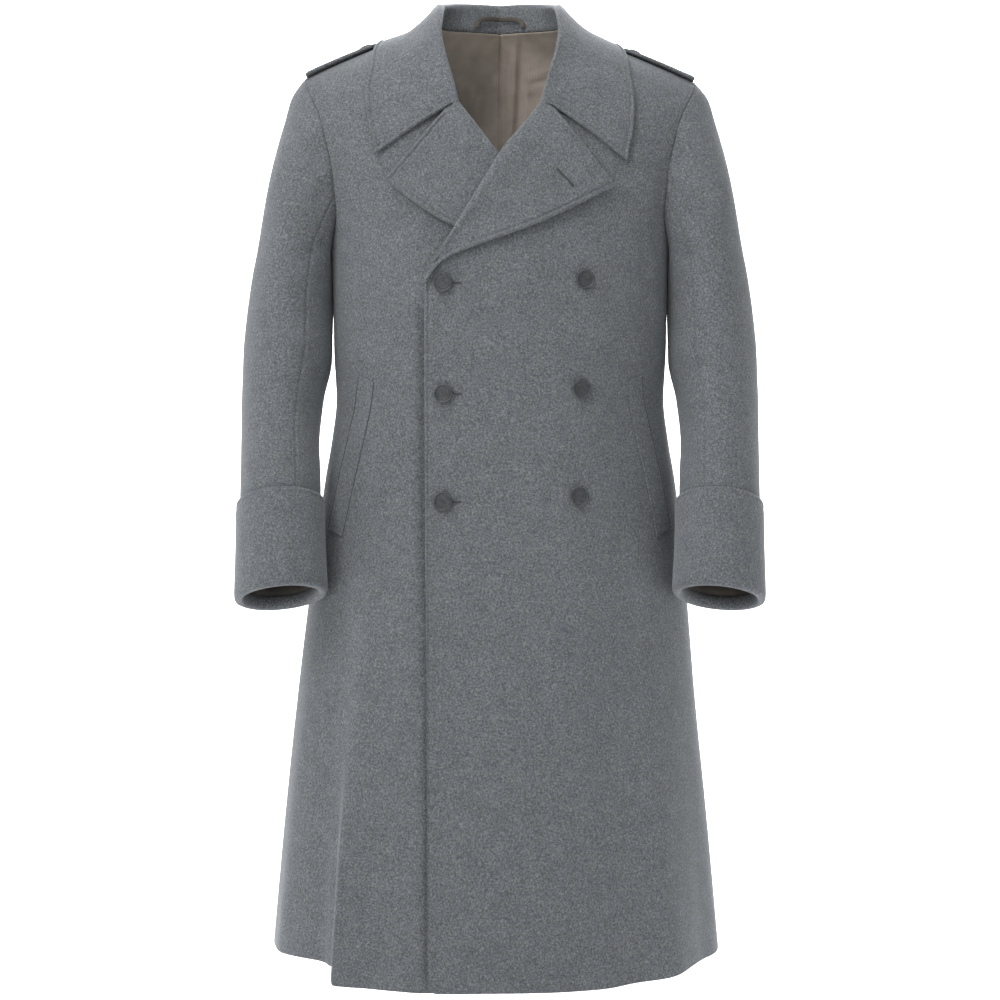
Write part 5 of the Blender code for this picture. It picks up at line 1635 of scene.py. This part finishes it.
@dataclass
class Trims:
    """The pocket welts and the shoulder straps."""

    form: Form
    cloth: Cloth
    material: bpy.types.Material
    welt_lift: float = 0.0016
    welt_slope: float = 0.010
    strap_wall: float = 0.0040
    strap_gap: float = 0.0006
    strap_drop: float = 0.0012
    # Distances from a border at which a welt and a strap have their columns or rows
    welt_marks: tuple = (0.0070, 0.0050, 0.0030, 0.0018, 0.0009, 0.0004)
    strap_marks: tuple = (0.0100, 0.0082, 0.0070, 0.0060, 0.0050, 0.0038, 0.0022, 0.0010)
    # Height, ratio of the outer line, ratio of the inner line
    welt_table: np.ndarray = field(default_factory=lambda: np.array([
        (-0.6300, 0.925, 0.835), (-0.5750, 0.905, 0.810), (-0.5100, 0.880, 0.780), (-0.4420, 0.838, 0.742),
    ]))
    # Distance from the centre, half width
    strap_table: np.ndarray = field(default_factory=lambda: np.array([
        (0.1525, 0.0030), (0.1560, 0.0105), (0.1610, 0.0165), (0.1740, 0.0193), (0.2000, 0.0208),
        (0.2430, 0.0225),
    ]))

    def welt(self, side: Side) -> None:
        """Make and dress a slanted welt."""
        table = self.welt_table
        half = end_marks(0.5, 1.0, self.welt_marks, 1 / 0.19, 0.05)
        along = np.concatenate([1 - half[::-1], half[1:]])
        heights = (table[0, 0] + (table[-1, 0] - table[0, 0]) * along)[:, None]
        half = end_marks(0.5, 1.0, self.welt_marks, 1 / 0.03, 0.12)
        part = np.concatenate([1 - half[::-1], half[1:]])[None, :]
        outer_line, inner_line = smooth(table, 1, heights), smooth(table, 2, heights)
        ratio = outer_line + (inner_line - outer_line) * part
        angle = side.value * self.form.angle_of(ratio)
        z = heights - self.welt_slope * part + 0 * ratio
        points, normals = self.form.point(angle, z), self.form.normal(angle, z)
        name = "welt_" + side.word
        piece = self.cloth.wall(
            name, points + normals * self.welt_lift, points - normals * 0.0004,
            (Edge.PLAIN,) * 4, self.material,
        )
        dress(piece, "wool", name)

    def strap(self, side: Side) -> None:
        """Make and dress a shoulder strap, pointed towards the collar."""
        table = self.strap_table
        point, rest = filled(list(table[:3, 0]), 0.0016), filled([table[2, 0], table[-1, 0]], 0.003)
        along = np.concatenate([point, rest[1:]])
        half = end_marks(0.0, 1.0, self.strap_marks, 50.0, 0.2)
        part = np.concatenate([-half[::-1], half[1:]])[None, :]
        x = along[:, None] + 0 * part
        y = smooth(table, 1, along)[:, None] * part
        height = self.form.ridge(x) + self.strap_gap - self.strap_drop * (y / table[-1, 1]) ** 2
        inner = np.stack([side.value * x, y, height], axis=-1)
        outer = inner + np.array([0.0, 0.0, self.strap_wall])
        name = "shoulder_strap_" + side.word
        kinds = (Edge.PLAIN, Edge.SEAM, Edge.FREE, Edge.FREE)
        piece = self.cloth.wall(name, outer, inner, kinds, self.material)
        dress(piece, "wool", name)

    def build(self) -> None:
        """Make both welts and both straps."""
        for side in Side:
            self.welt(side)
            self.strap(side)


@dataclass
class Buttons:
    """The six shank buttons of the front and the two small ones of the straps."""

    form: Form
    cloth: Cloth
    material: bpy.types.Material
    diameter: float = 0.023
    strap_diameter: float = 0.0155
    strap_x: float = 0.1690
    strap_top: float = 0.0050
    sides: int = 72
    # Distance from the centre, height, rise over the top front's face
    places: tuple = (
        (-0.0670, -0.3350, 0.0010), (-0.0660, -0.4680, 0.0010), (-0.0660, -0.5970, 0.0010),
        (0.1010, -0.3300, -0.0008), (0.0960, -0.4620, 0.0010), (0.0930, -0.5910, 0.0010),
    )
    # Radius and height as shares of the diameter
    profile: tuple = (
        (0.150, 0.0), (0.150, 0.055), (0.165, 0.070), (0.340, 0.078), (0.430, 0.085), (0.472, 0.102),
        (0.492, 0.130), (0.499, 0.160), (0.497, 0.190), (0.487, 0.212), (0.468, 0.224), (0.446, 0.225),
        (0.428, 0.214), (0.416, 0.196), (0.406, 0.176), (0.394, 0.165), (0.378, 0.161), (0.320, 0.163),
        (0.310, 0.168), (0.298, 0.172), (0.286, 0.167), (0.276, 0.162), (0.200, 0.164), (0.150, 0.166),
        (0.080, 0.168),
    )

    def turned(self, name: str, place: np.ndarray, axis: np.ndarray, diameter: float) -> None:
        """Turn a button about an axis, its back on the cloth at a place.

        Args:
            name: the node that it replaces, and its own name.
            place: the middle of its back.
            axis: the way that its face looks.
            diameter: its diameter.
        """
        axis = unit(np.asarray(axis, dtype=float))
        first = unit(np.cross(axis, (0.0, 0.3, 1.0)))
        second = np.cross(axis, first)
        turn = np.arange(self.sides) * 2 * math.pi / self.sides
        circle = np.cos(turn)[:, None] * first + np.sin(turn)[:, None] * second
        rings = [
            place + circle * radius * diameter + axis * height * diameter for radius, height in self.profile
        ]
        points = np.concatenate([[place], *rings, [place + axis * self.profile[-1][1] * diameter]])
        here = np.arange(self.sides)
        after = (here + 1) % self.sides
        faces = [[0, 1 + b, 1 + a] for a, b in zip(here, after)]
        for ring in range(len(self.profile) - 1):
            low, high = 1 + ring * self.sides, 1 + (ring + 1) * self.sides
            faces += [[low + a, low + b, high + b, high + a] for a, b in zip(here, after)]
        top = 1 + (len(self.profile) - 1) * self.sides
        faces += [[top + a, top + b, len(points) - 1] for a, b in zip(here, after)]
        dress(self.cloth.mesh(name, points, faces, None, self.material), "button", name)

    def build(self) -> None:
        """Make and dress every button."""
        form = self.form
        for number, (x, z, rise) in enumerate(self.places, start=1):
            place = form.front_place(Side.LEFT, x, z, rise)
            axis = form.normal(form.front_angle(x, z), z) * np.array([1.0, 1.0, 0.5])
            self.turned(f"button_{number}", place, axis, self.diameter)
        for side in Side:
            height = float(form.ridge(self.strap_x)) + self.strap_top
            place = np.array([side.value * self.strap_x, 0.0, height])
            self.turned("strap_button_" + side.word, place, form.ridge_normal(place[0]), self.strap_diameter)


@dataclass
class Linings:
    """The lining inside the back and the hanger loop at the foot of the collar's stand."""

    form: Form
    cloth: Cloth
    collar: Collar
    material: bpy.types.Material
    band: bpy.types.Material
    bottom: float = -0.42
    lift: float = -0.0052
    top_drop: float = 0.010
    neck_turn: float = 0.0022
    rows: int = 60
    # The centre seam: its depth and width, and the height, place and width of the swell on each side of it
    seam_depth: float = 0.0018
    seam_width: float = 0.0013
    swell: float = 0.0008
    swell_place: float = 0.0042
    swell_width: float = 0.0022
    deepest: float = -0.0028
    loop_band: float = 0.0062
    loop_wall: float = 0.0024
    # Creases: distance from the centre, height, lean, half length, half width, rise
    creases: tuple = (
        (0.0175, -0.060, 3.0, 0.055, 0.0036, 0.0046),
        (0.0240, -0.100, 6.0, 0.045, 0.0040, -0.0040),
        (0.0420, -0.085, -28.0, 0.045, 0.0045, 0.0044),
        (-0.0080, -0.028, 40.0, 0.014, 0.0028, 0.0022),
        (-0.0300, -0.075, 10.0, 0.050, 0.0060, 0.0030),
        (0.0550, -0.040, 74.0, 0.024, 0.0036, 0.0026),
        (0.0500, -0.056, 80.0, 0.020, 0.0032, 0.0022),
        (-0.0520, -0.050, -60.0, 0.020, 0.0050, 0.0014),
    )
    # Distance from the centre, height, gap to the collar stand
    loop_path: np.ndarray = field(default_factory=lambda: np.array([
        (-0.0300, 0.0135, 0.0025), (-0.0298, 0.0180, 0.0026), (-0.0265, 0.0232, 0.0030),
        (-0.0190, 0.0262, 0.0045), (-0.0050, 0.0270, 0.0050), (0.0120, 0.0262, 0.0050),
        (0.0240, 0.0235, 0.0035), (0.0288, 0.0185, 0.0026), (0.0290, 0.0135, 0.0025),
    ]))

    def back(self) -> None:
        """Make and dress the lining of the back."""
        form = self.form
        half = np.concatenate([
            end_marks(0.09, 0.0, SEWN_MARKS, 4.8, 0.012)[::-1], filled([0.09, form.neck_ratio], 0.010)[1:],
            filled([form.neck_ratio, 0.75], 0.020)[1:],
        ])
        shares = 1 - (1 - np.linspace(0.0, 1.0, self.rows)) ** 1.3
        outer = []
        for ratio in np.concatenate([-half[:0:-1], half]):
            size = abs(float(ratio))
            top = form.column_top(size, False, Side.LEFT)
            top += -self.top_drop if size > form.neck_ratio - 0.001 else self.neck_turn
            z = form.spaced_heights(lambda height: size + 0 * height, self.bottom, top, shares)
            angle = 180 - form.angle_of(ratio) + 0 * z
            outer.append(form.point(angle, z) + form.normal(angle, z) * self.lift)
        outer = np.array(outer)
        x, z = outer[..., 0], outer[..., 2]
        swell = self.swell * np.exp(-((np.abs(x) - self.swell_place) / self.swell_width) ** 2)
        relief = -self.seam_depth * np.exp(-(x / self.seam_width) ** 2) + swell
        for centre, level, lean, length, width, rise in self.creases:
            relief = relief + crease(x - centre, z - level, lean, length, width, rise)
        inward = unit(np.stack([-x * 0.3, -1 + 0 * x, 0 * x], axis=-1))
        outer = outer + inward * np.maximum(relief, self.deepest)[..., None]
        piece = self.cloth.wall(
            "lining_back", outer, outer + inward * LINING, (Edge.PLAIN,) * 4, self.material, relief=False,
        )
        dress(piece, "lining", "lining_back")

    def loop(self) -> None:
        """Make and dress the hanger loop, a soft folded band."""
        shares = np.linspace(0.0, 0.2, 21)
        profiles = self.collar.half(1, shares)
        path = resampled(self.loop_path, np.linspace(0, len(self.loop_path) - 1, 81))
        x, z, gap = path.T
        low = [np.interp(np.abs(x), profiles[:, 0, 0], profiles[:, 0, k]) for k in (1, 2)]
        high = [np.interp(np.abs(x), profiles[:, 2, 0], profiles[:, 2, k]) for k in (1, 2)]
        stand = low[0] + (high[0] - low[0]) * (z - low[1]) / (high[1] - low[1])
        centre = np.stack([x, stand - gap - self.loop_wall / 2, z], axis=-1)
        way = unit(np.gradient(centre, axis=0))
        front = np.array([0.0, -1.0, 0.0])
        normal = unit(np.cross(way, front))
        turns = np.linspace(0.0, 2 * math.pi, 25)[:-1]
        across = signed_power(np.cos(turns), 0.6) * self.loop_band / 2
        deep = signed_power(np.sin(turns), 0.6) * self.loop_wall / 2
        rings = centre[:, None] + normal[:, None] * across[None, :, None] + front * deep[None, :, None]
        columns, rows = rings.shape[:2]
        ends = [list(range(rows))[::-1], list(range((columns - 1) * rows, columns * rows))]
        faces = tube_faces(columns, rows, ring=False).tolist() + ends
        piece = self.cloth.mesh("hanger_loop", rings.reshape(-1, 3), faces, cloth_places(rings), self.band)
        dress(piece, "loop", "hanger_loop")

    def build(self) -> None:
        """Make the lining and the loop."""
        self.back()
        self.loop()


@dataclass(frozen=True)
class StitchTree:
    """A node tree that lays beads of thread along paths, a pitch apart, each turned to its path."""

    seed: int = 7
    sides: int = 6
    rings: int = 4
    # Input, its usual value: lengths in metres, turns in radians
    sizes: tuple = (
        ("Pitch", 0.0042), ("Length", 0.0028), ("Thickness", 0.0007), ("Turn", 0.0), ("Scatter", 0.06),
    )

    def build(self, thread: bpy.types.Material) -> bpy.types.NodeTree:
        """Make the tree.

        Args:
            thread: the beads' finish.

        Returns:
            The tree, whose sizes are named inputs.
        """
        tree = bpy.data.node_groups.new("stitches in " + thread.name, "GeometryNodeTree")
        tree.interface.new_socket("Geometry", in_out="INPUT", socket_type="NodeSocketGeometry")
        for name, value in self.sizes:
            socket = tree.interface.new_socket(name, in_out="INPUT", socket_type="NodeSocketFloat")
            socket.default_value = value
        tree.interface.new_socket("Geometry", in_out="OUTPUT", socket_type="NodeSocketGeometry")
        nodes = Nodes(tree)
        given = nodes.add("NodeGroupInput").outputs
        line = nodes.add("GeometryNodeMeshToCurve", {"Mesh": given["Geometry"]}).outputs["Curve"]
        spots = nodes.add(
            "GeometryNodeResampleCurve", {"Curve": line, "Length": given["Pitch"]}, mode="LENGTH",
        )
        tangent = nodes.add("GeometryNodeInputTangent").outputs["Tangent"]
        stored = nodes.add("GeometryNodeInputNamedAttribute", {"Name": "out"}, data_type="FLOAT_VECTOR")
        out = stored.outputs[0]
        along = nodes.add("FunctionNodeAlignRotationToVector", {"Vector": tangent}, axis="X")
        upright = nodes.add(
            "FunctionNodeAlignRotationToVector", {"Rotation": along.outputs["Rotation"], "Vector": out},
            axis="Z", pivot_axis="X",
        )
        least = nodes.sum("SUBTRACT", given["Turn"], given["Scatter"])
        most = nodes.sum("ADD", given["Turn"], given["Scatter"])
        turn = nodes.add("FunctionNodeRandomValue", {2: least, 3: most, 8: self.seed}, data_type="FLOAT")
        swing = nodes.add(
            "FunctionNodeAxisAngleToRotation", {"Axis": (0.0, 0.0, 1.0), "Angle": turn.outputs[1]},
        )
        turned = nodes.add(
            "FunctionNodeRotateRotation",
            {"Rotation": upright.outputs["Rotation"], "Rotate By": swing.outputs["Rotation"]},
            rotation_space="LOCAL",
        )
        size = nodes.add(
            "ShaderNodeCombineXYZ", {"X": given["Length"], "Y": given["Thickness"], "Z": given["Thickness"]},
        )
        bead = nodes.add(
            "GeometryNodeMeshUVSphere", {"Segments": self.sides, "Rings": self.rings, "Radius": 0.5},
        )
        laid = nodes.add("GeometryNodeInstanceOnPoints", {
            "Points": spots.outputs["Curve"], "Instance": bead.outputs["Mesh"],
            "Rotation": turned.outputs["Rotation"], "Scale": size.outputs["Vector"],
        })
        real = nodes.add("GeometryNodeRealizeInstances", {"Geometry": laid.outputs["Instances"]})
        dressed = nodes.add(
            "GeometryNodeSetMaterial", {"Geometry": real.outputs["Geometry"], "Material": thread},
        )
        nodes.add("NodeGroupOutput", {"Geometry": dressed.outputs["Geometry"]})
        return tree


@dataclass
class Stitching:
    """The visible threads: stitched edges and the worked buttonholes, with rows of dark beads round the welts
    as painted shadow lines and dark slits as painted shade in the buttonholes.
    """

    form: Form
    cloth: Cloth
    thread: bpy.types.Material
    # The dark thread's finish: the welts' painted shadow lines and the buttonholes' slits of painted shade
    twist: bpy.types.Material
    inset: float = 0.0050
    welt_inset: float = 0.0032
    sink: float = 0.0001
    slit_half: float = 0.0007
    slit_rise: float = 0.00035
    slit_depth: float = 0.0010
    stitch_half: float = 0.0012
    # How far up a welt's wall its painted shadow line lies
    foot_share: float = 0.45
    # The bead sizes of the welts' painted shadow lines and the thread sizes of the buttonholes
    welt_sizes: dict = field(default_factory=lambda: {"Pitch": 0.0030, "Length": 0.0040, "Thickness": 0.0012})
    hole_sizes: dict = field(default_factory=lambda: {
        "Pitch": 0.0009, "Length": 0.0021, "Thickness": 0.0009, "Turn": math.pi / 2,
    })
    # Wall and border of each stitched edge
    edges: tuple = (
        ("collar", 0), ("collar", 1), ("collar", 3), ("lapel_left", 1), ("lapel_left", 3), ("lapel_right", 1),
        ("lapel_right", 3), ("front_left", 0), ("front_right", 0), ("shoulder_strap_left", 2),
        ("shoulder_strap_left", 3), ("shoulder_strap_right", 2), ("shoulder_strap_right", 3),
    )
    # Start x and z, end x and z of each buttonhole; the last one is on the top lapel
    buttonholes: tuple = (
        (-0.0745, -0.3350, -0.0465, -0.3352), (-0.0735, -0.4680, -0.0462, -0.4683),
        (-0.0735, -0.5970, -0.0462, -0.5974), (0.0688, -0.1965, 0.0881, -0.2170),
    )

    def lay(self, name: str, paths: list, sizes: dict, thread: bpy.types.Material) -> None:
        """Lay beads of thread along paths, as one piece.

        Args:
            name: the piece's name.
            paths: for each path its points and the ways out of the cloth.
            sizes: the tree's inputs that differ from their usual values.
            thread: the beads' finish.
        """
        points = self.cloth.settled(np.concatenate([points for points, _ in paths]))
        ways = np.concatenate([ways for _, ways in paths])
        edges, start = [], 0
        for line, _ in paths:
            edges += [(start + k, start + k + 1) for k in range(len(line) - 1)]
            start += len(line)
        data = bpy.data.meshes.new(name)
        data.from_pydata(points.tolist(), edges, [])
        layer = data.attributes.new("out", "FLOAT_VECTOR", "POINT")
        layer.data.foreach_set("vector", ways.astype(np.float32).ravel())
        piece = placed(name, data)
        modifier = piece.modifiers.new("stitches", "NODES")
        modifier.node_group = StitchTree().build(thread)
        for socket in modifier.node_group.interface.items_tree:
            if socket.in_out == "INPUT" and socket.name in sizes:
                modifier[socket.identifier] = sizes[socket.name]
        graph = bpy.context.evaluated_depsgraph_get()
        made = bpy.data.meshes.new_from_object(piece.evaluated_get(graph))
        # The finished beads take the modifier's place
        piece.modifiers.clear()
        piece.data = made
        made.shade_smooth()
        dress(piece, "wool")

    def on_front(self, x: np.ndarray, z: np.ndarray, extra: float) -> tuple[np.ndarray, np.ndarray]:
        """Points on the top front's face at front-view places, and the ways out of it."""
        points = self.form.front_place(Side.LEFT, x, z, extra)
        beyond = self.form.front_place(Side.LEFT, x, z, extra + 0.001)
        return points, unit(beyond - points)

    def on_lapel(self, x: np.ndarray, z: np.ndarray, extra: float) -> tuple[np.ndarray, np.ndarray]:
        """Points on the top lapel's face at front-view places, and the ways out of it."""
        outer, inner = (grid.reshape(-1, 3) for grid in self.cloth.faces["lapel_left"])
        away = (outer[None, :, 0] - x[:, None]) ** 2 + (outer[None, :, 2] - z[:, None]) ** 2
        near = np.argsort(away, axis=1)[:, :4]
        weight = 1 / (np.take_along_axis(away, near, axis=1) + 1e-8)
        weight = weight / weight.sum(axis=1, keepdims=True)
        depth = np.sum(outer[near, 1] * weight, axis=1)
        ways = unit(np.sum((outer - inner)[near] * weight[..., None], axis=1))
        return np.stack([x, depth, z], axis=1) + ways * extra, ways

    def outline(self, hole: tuple, half: float, extra: float) -> tuple[np.ndarray, np.ndarray]:
        """A closed line round a buttonhole at a distance from its middle."""
        start, end = np.array(hole[:2]), np.array(hole[2:])
        way = unit(end - start)
        square = np.array([-way[1], way[0]])
        turn = np.linspace(-math.pi / 2, math.pi / 2, 9)[:, None]
        far = end + half * (np.cos(turn) * way + np.sin(turn) * square)
        near = start - half * (np.cos(turn) * way + np.sin(turn) * square)
        sides = np.linspace(0.0, 1.0, 14)[1:-1, None]
        over = far[-1] + (near[0] - far[-1]) * sides
        under = near[-1] + (far[0] - near[-1]) * sides
        x, z = np.concatenate([far, over, near, under]).T
        return self.on_lapel(x, z, extra) if hole[0] > 0 else self.on_front(x, z, extra)

    def welt_outline(self, name: str) -> tuple[np.ndarray, np.ndarray]:
        """A closed line round a welt's foot, where dark beads lie as a painted shadow line."""
        outer, inner = self.cloth.faces[name]
        foot = inner + (outer - inner) * self.foot_share
        line, ways = (
            np.concatenate([grid[:, 0], grid[-1, 1:], grid[-2::-1, -1], grid[0, -2::-1]])
            for grid in (foot, unit(outer - inner))
        )
        return line, ways

    def build(self) -> None:
        """Make every thread and slit."""
        paths = []
        for name, which in self.edges:
            line, ways = self.cloth.inset_line(name, which, self.inset)
            paths.append((line - ways * self.sink, ways))
        self.lay("edge_stitches", paths, {}, self.thread)
        # Dark beads round each welt's foot and along it, in the dark thread: painted shadow lines that draw
        # the welts' outlines
        welts = [self.welt_outline("welt_" + side.word) for side in Side]
        welts += [self.cloth.inset_line("welt_" + side.word, 2, self.welt_inset) for side in Side]
        self.lay("welt_seams", welts, self.welt_sizes, self.twist)
        stitched = []
        for number, hole in enumerate(self.buttonholes, start=1):
            stitched.append(self.outline(hole, self.stitch_half, 0.0))
            # The slit: a dark lens in the dark thread's finish, painted shade for the cut's shadowed opening
            top, _ = self.outline(hole, self.slit_half, self.slit_rise)
            foot, _ = self.outline(hole, self.slit_half, -self.slit_depth)
            count = len(top)
            here = np.arange(count)
            after = np.roll(here, -1)
            faces = [[a, b, b + count, a + count] for a, b in zip(here, after)]
            faces += [list(here[::-1]), list(here + count)]
            name = f"buttonhole_slit_{number}"
            slit = self.cloth.mesh(name, np.concatenate([top, foot]), faces, None, self.twist)
            dress(slit, "wool")
        self.lay("buttonhole_stitches", stitched, self.hole_sizes, self.thread)


@dataclass
class Studio:
    """A pale sweep, soft lights and the camera at the photograph's place."""

    distance: float = 2.6
    height: float = -0.5947
    width_seen: float = 1.26
    sensor: float = 36.0
    floor_z: float = -1.30
    sweep_start: float = 5.4
    sweep_radius: float = 1.2
    sweep_top: float = 5.0
    sweep_near: float = -7.0
    sweep_steps: int = 24
    half_span: float = 9.0
    glow: float = 0.10
    sky: float = 0.31
    # Name, place, the point that it looks at, width in metres, power in watts
    lights: tuple = (
        ("key light", (-1.6, -1.9, 1.45), (-0.05, 0.0, -0.25), 1.0, 40.0),
        ("front light", (-0.6, -3.0, 0.7), (0.0, 0.0, -0.1), 1.6, 7.0),
        ("left light", (-2.8, -1.2, -0.1), (0.0, 0.0, -0.4), 1.2, 8.0),
        ("right light", (2.3, -2.2, 1.1), (0.0, 0.0, -0.2), 0.8, 7.0),
        ("top light", (-0.35, -0.7, 2.3), (0.0, 0.0, -0.2), 1.4, 48.0),
        ("floor light", (0.0, 2.7, 2.5), (0.0, 3.0, -1.3), 2.6, 260.0),
        ("wall light", (0.0, 4.2, 3.2), (0.0, 6.6, -0.6), 3.6, 750.0),
        ("back light", (1.8, 3.0, 1.8), (0.0, 0.0, -0.4), 1.4, 40.0),
    )

    def floor(self) -> None:
        """Make the floor, which turns up into a wall behind."""
        profile = [(self.sweep_near, self.floor_z), (self.sweep_start, self.floor_z)]
        for step in range(1, self.sweep_steps + 1):
            turn = math.pi / 2 * step / self.sweep_steps
            profile.append((
                self.sweep_start + self.sweep_radius * math.sin(turn),
                self.floor_z + self.sweep_radius * (1 - math.cos(turn)),
            ))
        profile.append((self.sweep_start + self.sweep_radius, self.sweep_top))
        points = [(x, y, z) for y, z in profile for x in (-self.half_span, self.half_span)]
        faces = [(2 * k, 2 * k + 1, 2 * k + 3, 2 * k + 2) for k in range(len(profile) - 1)]
        data = bpy.data.meshes.new("floor")
        data.from_pydata(points, [], faces)
        data.shade_smooth()
        material, nodes, shader = new_material("pale floor")
        nodes.fill(shader, {
            "Base Color": (0.90, 0.90, 0.90, 1.0), "Emission Color": (1.0, 1.0, 1.0, 1.0),
            "Emission Strength": self.glow, "Roughness": 0.9,
        })
        data.materials.append(material)
        placed("floor", data)

    def light(self, name: str, place: tuple, aim: tuple, size: float, power: float) -> None:
        """Add a square area light.

        Args:
            name: its name.
            place: where it stands.
            aim: the point that it looks at.
            size: its width.
            power: its power in watts.
        """
        data = bpy.data.lights.new(name, "AREA")
        data.size, data.energy = size, power
        lamp = placed(name, data)
        way = np.array(aim) - np.array(place)
        lamp.location = place
        lamp.rotation_euler = (
            math.atan2(math.hypot(way[0], way[1]), -way[2]), 0.0, math.atan2(way[1], way[0]) - math.pi / 2,
        )

    def build(self) -> None:
        """Make the floor, world, lights and camera."""
        self.floor()
        scene = bpy.context.scene
        scene.view_settings.view_transform = "Standard"
        world = bpy.data.worlds.new("soft sky")
        world.use_nodes = True
        sky = world.node_tree.nodes["Background"]
        sky.inputs["Color"].default_value = (1.0, 1.0, 1.0, 1.0)
        sky.inputs["Strength"].default_value = self.sky
        scene.world = world
        for name, place, aim, size, power in self.lights:
            self.light(name, place, aim, size, power)
        data = bpy.data.cameras.new("camera")
        data.lens = self.sensor * self.distance / self.width_seen
        data.sensor_width = self.sensor
        camera = placed("camera", data)
        camera.location = (0.0, -self.distance, self.height)
        camera.rotation_euler = (math.pi / 2, 0.0, 0.0)
        scene.camera = camera


def main() -> None:
    """Build the coat piece by piece, then the studio."""
    logging.basicConfig(level=logging.INFO, format="%(name)s: %(message)s")
    wool = WoolFinish().build()
    # The back lining: its own taupe, lightened well past its real tone as painted light to make up for the
    # shade inside the coat
    lining = TwillFinish("taupe lining", (0.43, 0.365, 0.305), (0.69, 0.61, 0.535), 0.55).build()
    # The sleeve ends' lining: the same taupe lining darkened many times over, as painted shade for the
    # shadowed inside of the sleeves
    painted_shade_lining = TwillFinish(
        "dark sleeve lining", (0.012, 0.010, 0.008), (0.050, 0.040, 0.031), 0.50,
    ).build()
    band = TwillFinish("loop band", (0.038, 0.032, 0.027), (0.078, 0.067, 0.058), 0.70).build()
    button = ButtonFinish().build()
    thread = ThreadFinish("grey sewing thread", (0.085, 0.092, 0.100)).build()
    # Dark thread for the welts' painted shadow lines and the buttonholes' painted shade
    painted_shadow_thread = ThreadFinish("dark buttonhole twist", (0.040, 0.043, 0.047)).build()
    form, cloth = Form(), Cloth()
    lapels = Lapels(form, cloth, wool)
    collar = Collar(form, cloth, lapels, wool)
    Body(form, cloth, wool).build()
    Sleeves(form, cloth, wool, painted_shade_lining).build()
    lapels.build()
    collar.build()
    Trims(form, cloth, wool).build()
    Buttons(form, cloth, button).build()
    Linings(form, cloth, collar, lining, band).build()
    Stitching(form, cloth, thread, painted_shadow_thread).build()
    Studio().build()


if __name__ == "__main__":
    main()
